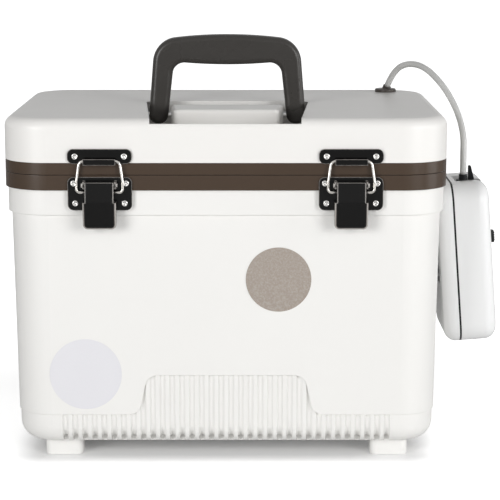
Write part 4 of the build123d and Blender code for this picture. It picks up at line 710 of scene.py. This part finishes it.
@dataclass(frozen=True)
class Studio:
    """The plain pale floor, soft lamps, world and camera.

    The floor glows by itself where it is open and less towards the footprint, a painted shadow under and
    round the object, so each reach is a span of distances from the footprint and each glow is what the floor
    adds at that span's two ends.
    """

    camera_place: Point = (0.01906, -1.48888, 0.42642)
    camera_dip: float = 10.51  # degrees below level
    lens: float = 127.9  # millimetres
    sensor: float = 36.0  # millimetres
    ambient: float = 0.27  # the world's strength on matt surfaces
    floor_half: float = 30.0
    floor_grey: float = 0.9
    # painted shadow: the glow is least at the footprint and rises within a few centimetres
    near_reach: tuple[float, float] = (0.0, 0.035)
    near_glow: tuple[float, float] = (0.05, 0.62)
    # painted shade: a wider rise of the glow away from the object
    far_reach: tuple[float, float] = (0.03, 0.3)
    far_glow: tuple[float, float] = (0.0, 0.38)
    lamps: tuple[Lamp, ...] = (
        Lamp("key_left", (-1.25, -1.75, 0.62), (0, 0, 0.14), size=0.9, power=22.0),
        Lamp("key_right", (1.35, -1.65, 0.66), (0, 0, 0.14), size=0.9, power=18.2),
        Lamp("fill_right", (1.9, -0.35, 0.45), (0.12, 0, 0.18), size=1.0, power=10.5),
    )

    def add_camera(self) -> None:
        """Adds the camera and makes it the scene's camera."""
        data = bpy.data.cameras.new("camera")
        data.lens = self.lens
        data.sensor_width = self.sensor
        camera = bpy.data.objects.new("camera", data)
        camera.location = self.camera_place
        camera.rotation_euler = (math.radians(90 - self.camera_dip), 0, 0)
        bpy.context.scene.collection.objects.link(camera)
        bpy.context.scene.camera = camera

    def add_world(self) -> None:
        """Adds a world that is seen and mirrored as white and lights matt surfaces evenly."""
        world = bpy.data.worlds.new("studio")
        bpy.context.scene.world = world
        world.use_nodes = True
        tree = world.node_tree
        tree.nodes.clear()
        output = tree.nodes.new("ShaderNodeOutputWorld")
        background = tree.nodes.new("ShaderNodeBackground")
        path = tree.nodes.new("ShaderNodeLightPath")
        strength: Socket | float = self.ambient
        for ray in ("Is Camera Ray", "Is Glossy Ray", "Is Transmission Ray"):
            either = tree.nodes.new("ShaderNodeMath")
            either.operation = "MAXIMUM"
            tree.links.new(path.outputs[ray], either.inputs[0])
            if isinstance(strength, float):
                either.inputs[1].default_value = strength
            else:
                tree.links.new(strength, either.inputs[1])
            strength = either.outputs[0]
        tree.links.new(strength, background.inputs["Strength"])
        tree.links.new(background.outputs[0], output.inputs["Surface"])

    def floor_finish(self) -> bpy.types.Material:
        """Lays out the pale floor, white in the open and darker under and round the object, by its real
        shadow and by a painted shadow where its glow falls off.

        Returns:
            Its material.
        """
        sheet = NodeSheet("pale_floor")
        apart = sheet.vector("ABSOLUTE", sheet.place())
        outside = sheet.vector("SUBTRACT", apart.outputs[0], FOOTPRINT)
        clear = sheet.vector("MAXIMUM", outside.outputs[0], (0, 0, 0))
        reach = sheet.vector("LENGTH", clear.outputs[0]).outputs["Value"]
        # painted shadow and shade: the floor glows less the closer it is to the footprint
        painted_shadow = sheet.spread(reach, self.near_reach, self.near_glow, interpolation_type="SMOOTHSTEP")
        painted_shade = sheet.spread(reach, self.far_reach, self.far_glow, interpolation_type="SMOOTHSTEP")
        seen = sheet.node("LightPath").outputs["Is Camera Ray"]
        glow = sheet.calc("MULTIPLY", sheet.calc("ADD", painted_shadow, painted_shade), seen)
        diffuse = sheet.node("BsdfDiffuse", {"Color": shaded((self.floor_grey,) * 3)})
        emission = sheet.node("Emission", {"Color": (1, 1, 1, 1), "Strength": glow})
        return sheet.finish(sheet.node("AddShader", {0: diffuse.outputs[0], 1: emission.outputs[0]}))

    def add_floor(self) -> None:
        """Adds the floor, which belongs to the stage."""
        mesh = bpy.data.meshes.new("floor")
        shape = bmesh.new()
        bmesh.ops.create_grid(shape, x_segments=1, y_segments=1, size=self.floor_half)
        shape.to_mesh(mesh)
        shape.free()
        mesh.materials.append(self.floor_finish())
        floor = bpy.data.objects.new("floor", mesh)
        bpy.context.scene.collection.objects.link(floor)

    def build(self) -> None:
        """Builds the studio."""
        self.add_camera()
        self.add_world()
        for lamp in self.lamps:
            lamp.add()
        self.add_floor()
        bpy.context.scene.view_settings.view_transform = "Standard"


def smooth_object(name: str, shape: bmesh.types.BMesh, material: bpy.types.Material) -> bpy.types.Object:
    """Makes a smoothly shaded object from a shape, which it frees.

    Args:
        name: the name of the object and of its mesh.
        shape: its faces, in metres in the shared frame.
        material: its finish.

    Returns:
        The new object.
    """
    mesh = bpy.data.meshes.new(name)
    shape.to_mesh(mesh)
    shape.free()
    for polygon in mesh.polygons:
        polygon.use_smooth = True
    mesh.materials.append(material)
    made = bpy.data.objects.new(name, mesh)
    bpy.context.scene.collection.objects.link(made)
    return made


class Piece:
    """A new mesh piece that is shaped in one bmesh and then rides on a body."""

    bend_steps: int = 6  # steps of each bend in a wire
    straight: float = 0.01  # radians, the turn up to which a wire needs no bend

    def __init__(self, name: str) -> None:
        """Starts an empty shape under the piece's name."""
        self.name = name
        self.shape = bmesh.new()

    def revolve(
        self, profile: Sequence[tuple[float, float]], place: Point, axis: Point, segments: int
    ) -> None:
        """Turns an open profile of (radius, height) steps round an axis and adds it to the shape.

        Args:
            profile: the steps from one end to the other.
            place: the profile's zero height.
            axis: the direction of its height.
            segments: steps of the turn.
        """
        turned = bmesh.new()
        corners = [turned.verts.new((radius, 0.0, height)) for radius, height in profile]
        edges = [turned.edges.new(pair) for pair in zip(corners, corners[1:])]
        bmesh.ops.spin(
            turned,
            geom=corners + edges,
            cent=(0, 0, 0),
            axis=(0, 0, 1),
            angle=math.tau,
            steps=segments,
            use_merge=True,
        )
        bmesh.ops.remove_doubles(turned, verts=turned.verts, dist=WELD)
        bmesh.ops.recalc_face_normals(turned, faces=turned.faces)
        turn = Vector(axis).to_track_quat("Z", "Y").to_matrix().to_4x4()
        bmesh.ops.transform(turned, matrix=Matrix.Translation(place) @ turn, verts=turned.verts)
        self.take(turned)

    def bend_wire(self, corners: Sequence[tuple[Point, float]], radius: float, sides: int = 16) -> None:
        """Runs round wire along straight legs, turns it at each corner and adds it to the shape.

        Args:
            corners: each corner's place and the radius of its bend, 0 at both ends.
            radius: the wire's own radius.
            sides: flats round the wire.
        """
        places = [Vector(place) for place, _ in corners]
        ways = [(after - before).normalized() for before, after in zip(places, places[1:])]
        turns = [before.angle(after) for before, after in zip(ways, ways[1:])]
        trims = [0.0] + [bend * math.tan(turn / 2) for (_, bend), turn in zip(corners[1:], turns)] + [0.0]
        wire = bmesh.new()
        start = Matrix.Translation(places[0]) @ ways[0].to_track_quat("Z", "Y").to_matrix().to_4x4()
        bmesh.ops.create_circle(wire, cap_ends=True, segments=sides, radius=radius, matrix=start)
        ring = wire.edges[:]
        for index, way in enumerate(ways):
            length = (places[index + 1] - places[index]).length - trims[index] - trims[index + 1]
            grown = bmesh.ops.extrude_edge_only(wire, edges=ring)["geom"]
            moved = [item for item in grown if isinstance(item, bmesh.types.BMVert)]
            bmesh.ops.translate(wire, vec=way * length, verts=moved)
            ring = [item for item in grown if isinstance(item, bmesh.types.BMEdge)]
            ring = [edge for edge in ring if all(vertex in moved for vertex in edge.verts)]
            if index + 1 < len(ways) and turns[index] > self.straight:
                after = ways[index + 1]
                inward = (after - way * way.dot(after)).normalized()
                centre = places[index + 1] - way * trims[index + 1] + inward * corners[index + 1][1]
                spun = bmesh.ops.spin(
                    wire,
                    geom=ring,
                    cent=centre,
                    axis=way.cross(after).normalized(),
                    angle=turns[index],
                    steps=self.bend_steps,
                    use_merge=False,
                )["geom_last"]
                ring = [item for item in spun if isinstance(item, bmesh.types.BMEdge)]
        bmesh.ops.contextual_create(wire, geom=ring)
        bmesh.ops.remove_doubles(wire, verts=wire.verts, dist=WELD)
        bmesh.ops.recalc_face_normals(wire, faces=wire.faces)
        self.take(wire)

    def block(self, size: Point, place: Matrix, edge: float, segments: int = 3) -> None:
        """Adds a block with rounded edges.

        Args:
            size: its three sides.
            place: where its middle goes and how it is turned.
            edge: the radius of its edges.
            segments: steps of each rounded edge.
        """
        made = bmesh.new()
        bmesh.ops.create_cube(made, size=1.0, matrix=Matrix.Diagonal((*size, 1.0)))
        bmesh.ops.bevel(
            made,
            geom=made.edges[:],
            offset=edge,
            segments=segments,
            profile=0.5,
            affect="EDGES",
            material=-1,
        )
        bmesh.ops.transform(made, matrix=place, verts=made.verts)
        self.take(made)

    def take(self, other: bmesh.types.BMesh) -> None:
        """Adds another shape to this one and frees it.

        Args:
            other: the shape that is added.
        """
        passing = bpy.data.meshes.new("passing")
        other.to_mesh(passing)
        other.free()
        self.shape.from_mesh(passing)
        bpy.data.meshes.remove(passing)

    def finish(self, material: bpy.types.Material, body: str, slot: str) -> bpy.types.Object:
        """Makes the object, dresses it and lets it ride.

        Args:
            material: its finish.
            body: the CAD body that it moves with.
            slot: the record's material slot that it stands for; not used.

        Returns:
            The new object.
        """
        made = smooth_object(self.name, self.shape, material)
        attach(made, body)
        LOG.info("piece %s: %d faces on %s", self.name, len(made.data.polygons), body)
        return made


@dataclass(frozen=True)
class RolledRivet:
    """A tubular rivet: a low round head with a rolled lip and a dimple in its middle."""

    head_radius: float = 2.5 * MM
    head_height: float = 1.1 * MM
    shank_radius: float = 1.45 * MM
    shank_length: float = 2.9 * MM
    segments: int = 28
    head: tuple[tuple[float, float], ...] = (
        (1.0, 0.0),
        (1.0, 0.30),
        (0.96, 0.62),
        (0.86, 0.88),
        (0.72, 1.0),
        (0.58, 0.90),
        (0.50, 0.64),
        (0.44, 0.26),
        (0.30, 0.12),
        (0.0, 0.10),
    )  # steps from its rim to its middle, as shares of its radius and of its height

    def profile(self) -> list[tuple[float, float]]:
        """Works out the rivet's half section.

        Returns:
            Its (radius, height) steps from the shank's foot to the middle of the head.
        """
        shank = [
            (0.0, -self.shank_length),
            (self.shank_radius, -self.shank_length),
            (self.shank_radius, 0.0),
        ]
        return shank + [(out * self.head_radius, up * self.head_height) for out, up in self.head]


@dataclass(frozen=True)
class RivetRow:
    """The rivets of one node, each seated where its CAD rivet is."""

    node: str
    body: str
    seats: tuple[Point, ...]
    outward: Point
    slot: str = "rivets"

    def build(self, workshop: Workshop) -> None:
        """Builds the rolled rivets in place of the node's plain ones.

        Args:
            workshop: the frame and its finishes.
        """
        rivet = RolledRivet()
        row = Piece("rolled_" + self.node)
        for seat in self.seats:
            row.revolve(rivet.profile(), seat, self.outward, rivet.segments)
        made = row.finish(workshop.finish["rivet"], self.body, self.slot)
        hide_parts(self.node)


class Workshop:
    """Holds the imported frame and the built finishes, and dresses the CAD nodes."""

    def __init__(self, frame: dict) -> None:
        """Keeps the frame and builds every finish once.
        """
        self.nodes = frame["nodes"]
        book = FinishBook()
        self.finish = {field.name: getattr(book, field.name).build() for field in fields(book)}

    def dress(self, finish: str, names: Iterable[str]) -> None:
        """Gives CAD nodes a finish.

        Args:
            finish: the finish's field name in the book.
            names: the nodes.
        """
        for name in names:
            mesh = self.nodes[name].data
            mesh.materials.clear()
            mesh.materials.append(self.finish[finish])
            LOG.info("node %s: %s", name, finish)


@dataclass(frozen=True)
class HoseRun:
    """One run of soft tubing along a smooth line.

    Its points, length and blend are in millimetres, and its radius, wall and weld are in metres.
    """

    name: str
    node: str
    points: tuple[Point, ...]
    length: float
    blend_start: Point
    blend_end: Point
    far_end: str
    with_pieces: tuple[str, ...] = ()
    radius: float = 2.7 * MM
    wall: float = 1.1 * MM
    sides: int = 20
    order: int = 3
    resolution: int = 10  # steps between two points
    weld: float = 1e-6  # points of the tube nearer than this are one

    def route(self) -> bpy.types.Object:
        """Lays the hose's line.

        Returns:
            A curve with no thickness.
        """
        data = bpy.data.curves.new(self.name + "_route", "CURVE")
        data.dimensions = "3D"
        data.resolution_u = self.resolution
        spline = data.splines.new("NURBS")
        spline.points.add(len(self.points) - 1)
        for knot, point in zip(spline.points, self.points):
            knot.co = (*metres(point), 1.0)
        spline.order_u = self.order
        spline.use_endpoint_u = True
        curve = bpy.data.objects.new(self.name + "_route", data)
        bpy.context.scene.collection.objects.link(curve)
        return curve

    def centres(self, curve: bpy.types.Object) -> list[Vector]:
        """Reads the line that a curve follows.

        Args:
            curve: the hose's line, with no thickness yet.

        Returns:
            The line's points in order, in metres.
        """
        line = bpy.data.meshes.new_from_object(curve)
        found = [vertex.co.copy() for vertex in line.vertices]
        bpy.data.meshes.remove(line)
        return found

    def skin(self, curve: bpy.types.Object) -> bmesh.types.BMesh:
        """Makes the tube round a curve, with its wall and open ends, and removes the curve.

        Args:
            curve: the hose's line, with no thickness yet.

        Returns:
            The tube's shape.
        """
        curve.data.bevel_depth = self.radius
        curve.data.bevel_resolution = self.sides // 4
        curve.data.use_fill_caps = False
        bpy.context.view_layer.update()
        tube = bpy.data.meshes.new_from_object(curve.evaluated_get(bpy.context.evaluated_depsgraph_get()))
        bpy.data.objects.remove(curve)
        shape = bmesh.new()
        shape.from_mesh(tube)
        bpy.data.meshes.remove(tube)
        bmesh.ops.remove_doubles(shape, verts=shape.verts, dist=self.weld)
        bmesh.ops.recalc_face_normals(shape, faces=shape.faces)
        bmesh.ops.solidify(shape, geom=shape.verts[:] + shape.edges[:] + shape.faces[:], thickness=self.wall)
        return shape

    def build(self, workshop: Workshop) -> None:
        """Args:
            workshop: the frame and its finishes.
        """
        curve = self.route()
        bpy.context.view_layer.update()
        path = self.centres(curve)
        made = smooth_object(self.name, self.skin(curve), workshop.finish["tube"])
        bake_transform(made)
        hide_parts(self.node)
        LOG.info("hose %s: %d faces", self.name, len(made.data.polygons))


@dataclass(frozen=True)
class AirLine:
    """The hose from the pump to the lid, the grommet, the hose inside and the air stone."""

    outer: HoseRun = HoseRun(
        name="hose_outside",
        node="air_hose",
        points=(
            (199.2, 0.0, 215.6),
            (199.2, 0.0, 231.5),
            (199.6, 4.0, 249.0),
            (195.0, 14.5, 268.0),
            (184.5, 33.0, 288.0),
            (170.0, 61.0, 302.5),
            (155.0, 83.0, 302.5),
            (145.4, 93.5, 292.2),
            (141.48, 96.76, 281.18),
        ),
        length=174.5,
        blend_start=(199.2, 0.0, 215.6),
        blend_end=(170.0, 61.0, 302.0),
        far_end="object",
    )
    inner: HoseRun = HoseRun(
        name="hose_inside",
        node="inner_hose",
        points=(
            (140.0, 98.0, 232.4),
            (140.0, 98.0, 212.0),
            (138.0, 94.5, 191.0),
            (135.0, 89.5, 167.0),
            (131.5, 83.0, 142.0),
            (126.5, 74.5, 118.0),
            (119.5, 64.0, 95.0),
            (110.0, 52.0, 73.5),
            (96.5, 40.0, 55.0),
            (79.0, 29.5, 42.5),
            (59.0, 22.0, 36.0),
            (40.0, 18.0, 35.6),
        ),
        length=262.0,
        blend_start=(137.0, 93.0, 165.0),
        blend_end=(140.0, 98.0, 228.0),
        far_end="fitting",
        with_pieces=("air_stone",),
    )

    def build(self, workshop: Workshop) -> None:
        """Builds both hoses and dresses what they join.

        Args:
            workshop: the frame and its finishes.
        """
        self.outer.build(workshop)
        self.inner.build(workshop)
        workshop.dress("grommet", ["hose_grommet"])
        workshop.dress("stone", ["air_stone"])


class Tank:
    """The insulated tank with its feet, its band and two blank labels."""

    def build(self, workshop: Workshop) -> None:
        """Dresses the tank's nodes.

        Args:
            workshop: the frame and its finishes.
        """
        workshop.dress("shell", ["tank_shell"])
        workshop.dress("liner", ["tank_liner"])
        workshop.dress("foam", ["tank_insulation"])
        workshop.dress("band", ["rim_band"])
        workshop.dress("capacity_film", ["capacity_label"])
        workshop.dress("badge_film", ["badge_label"])


class Lid:
    """The hinged lid with its band, inner panel and seal."""

    def build(self, workshop: Workshop) -> None:
        """Dresses the lid's nodes.

        Args:
            workshop: the frame and its finishes.
        """
        workshop.dress("lid", ["lid_shell"])
        workshop.dress("liner", ["lid_liner"])
        workshop.dress("foam", ["lid_insulation"])
        workshop.dress("band", ["lid_band"])
        workshop.dress("seal", ["lid_gasket"])


class CarryHandle:
    """The folding handle and its pins."""

    def build(self, workshop: Workshop) -> None:
        """Dresses the handle's nodes."""
        workshop.dress("grip", ["handle"])
        workshop.dress("steel", ["handle_pins"])


class RearHinges:
    """The two steel hinges at the back."""

    def build(self, workshop: Workshop) -> None:
        """Dresses the hinges' nodes."""
        workshop.dress("steel", ["hinge_tank_leaves", "hinge_lid_leaves", "hinge_pins"])


@dataclass(frozen=True)
class DrawLatch:
    """One draw latch: keeper, base, lever and wire bail. Sizes are in millimetres."""

    hand: Hand
    middle: float = 97.5
    bar: tuple[float, float] = (-127.05, 243.45)  # y and z of the bail's top bar
    pivot: tuple[float, float] = (-128.2, 219.3)  # y and z of its turned-in feet
    shoulder: float = 8.0
    top_half: float = 15.6
    foot_half: float = 17.9
    foot_end: float = 6.0
    top_bend: float = 4.2
    foot_bend: float = 2.8
    wire_radius: float = 1.2

    def bail_line(self) -> list[tuple[Point, float]]:
        """Works out the run of the bail's wire.

        Returns:
            Each corner and the radius of its bend, in metres.
        """
        x = self.middle * (-1 if self.hand is Hand.LEFT else 1)
        (bar_y, bar_z), (foot_y, foot_z) = self.bar, self.pivot
        share = self.shoulder / (bar_z - foot_z)
        shoulder_y = foot_y + (bar_y - foot_y) * share
        shoulder_z = foot_z + self.shoulder
        half = [
            ((self.foot_end, foot_y, foot_z), 0.0),
            ((self.foot_half, foot_y, foot_z), self.foot_bend),
            ((self.foot_half, shoulder_y, shoulder_z), self.foot_bend),
            ((self.top_half, bar_y, bar_z), self.top_bend),
        ]
        left = [((x - off, y, z), bend) for (off, y, z), bend in half]
        right = [((x + off, y, z), bend) for (off, y, z), bend in reversed(half)]
        return [(metres(point), MM * bend) for point, bend in left + right]

    def build(self, workshop: Workshop) -> None:
        """Dresses the latch's nodes and bends its bail from round wire.

        Args:
            workshop: the frame and its finishes.
        """
        side = self.hand.value
        workshop.dress("latch", [f"keeper_{side}", f"latch_base_{side}", f"lever_{side}"])
        workshop.dress("wire", [f"lever_pin_{side}"])
        workshop.dress("black", [f"bail_spacer_{side}"])
        bail = Piece(f"bent_bail_{side}")
        bail.bend_wire(self.bail_line(), MM * self.wire_radius)
        made = bail.finish(workshop.finish["wire"], f"bail_{side}", "bail")
        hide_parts(f"bail_{side}")


@dataclass(frozen=True)
class Rivets:
    """Where every rivet sits: half spacings across the object, and heights, in millimetres."""

    latch_x: float = 97.5
    hinge_x: float = 92.0
    hinge_half: float = 16.0
    front_y: float = -125.5
    back_y: float = 125.5
    keeper: tuple[tuple[float, float], ...] = ((19.1, 246.95),)
    base: tuple[tuple[float, float], ...] = ((20.3, 226.0), (19.1, 210.4))
    hinge_lid_z: float = 249.2
    hinge_tank_z: float = 215.2

    def seats(self, middle: float, y: float, spots: Iterable[tuple[float, float]]) -> tuple[Point, ...]:
        """Places seats on both sides of both fittings.

        Args:
            middle: how far each fitting's middle is from the object's.
            y: the face that the heads sit on.
            spots: half spacing and height of each pair.

        Returns:
            The seats, in metres.
        """
        return tuple(
            (MM * (hand * middle + side * half), MM * y, MM * z)
            for hand in (-1, 1)
            for side in (-1, 1)
            for half, z in spots
        )

    def build(self, workshop: Workshop) -> None:
        """Builds the rivets of the latches and of the hinges.

        Args:
            workshop: the frame and its finishes.
        """
        lid_hinge = ((self.hinge_half, self.hinge_lid_z),)
        tank_hinge = ((self.hinge_half, self.hinge_tank_z),)
        for row in (
            RivetRow("keeper_rivets", "lid", self.seats(self.latch_x, self.front_y, self.keeper), AHEAD),
            RivetRow("latch_base_rivets", "tank", self.seats(self.latch_x, self.front_y, self.base), AHEAD),
            RivetRow("hinge_rivets_lid", "lid", self.seats(self.hinge_x, self.back_y, lid_hinge), BEHIND),
            RivetRow("hinge_rivets_tank", "tank", self.seats(self.hinge_x, self.back_y, tank_hinge), BEHIND),
        ):
            row.build(workshop)


@dataclass(frozen=True)
class AirPump:
    """The battery air pump on its bracket. Sizes are in millimetres and the lean is in radians."""

    lean: float = math.radians(4.47)
    knob: tuple[float, float] = (6.2, 10.4)
    knob_foot: float = 217.9  # x of the foot of the knob's stem
    knob_proud: float = 226.6  # x of its face
    knob_edge: float = 0.9
    rib: Point = (4.8, 0.8, 0.9)
    rib_edge: float = 0.25
    rib_segments: int = 2
    rib_pitch: float = 1.9
    rib_count: int = 4

    def build_knob(self, workshop: Workshop) -> None:
        """Builds the sliding switch's ribbed knob, square to the leaning case.

        Args:
            workshop: the frame and its finishes.
        """
        low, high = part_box("pump_switch")
        reach = self.knob_proud - self.knob_foot
        out = Vector((math.cos(self.lean), 0.0, math.sin(self.lean)))
        up = Vector((-math.sin(self.lean), 0.0, math.cos(self.lean)))
        turn = Matrix((Vector((0.0, 1.0, 0.0)), up, out)).transposed().to_4x4()
        middle = Vector((MM * (self.knob_foot + reach / 2), 0.0, (low.z + high.z) / 2))
        knob = Piece("switch_knob")
        knob.block(
            (MM * self.knob[0], MM * self.knob[1], MM * reach),
            Matrix.Translation(middle) @ turn,
            MM * self.knob_edge,
        )
        for step in range(self.rib_count):
            rise = (step - (self.rib_count - 1) / 2) * self.rib_pitch
            spot = middle + out * (MM * reach / 2) + up * (MM * rise)
            rib_place = Matrix.Translation(spot) @ turn
            knob.block(metres(self.rib), rib_place, MM * self.rib_edge, self.rib_segments)
        made = knob.finish(workshop.finish["black"], "pump_switch", "pump_switch")
        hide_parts("pump_switch")

    def build(self, workshop: Workshop) -> None:
        """Dresses the pump's nodes and builds its switch knob.

        Args:
            workshop: the frame and its finishes.
        """
        self.build_knob(workshop)
        workshop.dress("pump", ["pump_front_shell", "pump_back_shell"])
        workshop.dress("clip", ["belt_clip", "pump_bracket"])
        workshop.dress("rubber", ["pump_gasket", "diaphragm"])
        workshop.dress("black", ["outlet_fitting", "switch_block", "pump_head"])
        workshop.dress("steel", ["case_screws", "bracket_screws", "battery_contacts"])
        workshop.dress("wrap", ["batteries"])
        workshop.dress("can", ["motor"])
        workshop.dress("inner", ["pump_chassis", "drive_cam"])
        workshop.dress("tube", ["pressure_tube"])


def main() -> None:
    """Builds the studio and the object's sub-assemblies in order."""
    logging.basicConfig(level=logging.INFO, format="%(message)s")
    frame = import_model()
    Studio().build()
    workshop = Workshop(frame)
    AirLine().build(workshop)
    for assembly in (
        Tank(),
        Lid(),
        CarryHandle(),
        DrawLatch(Hand.LEFT),
        DrawLatch(Hand.RIGHT),
        RearHinges(),
        Rivets(),
        AirPump(),
    ):
        assembly.build(workshop)


if __name__ == "__main__":
    main()
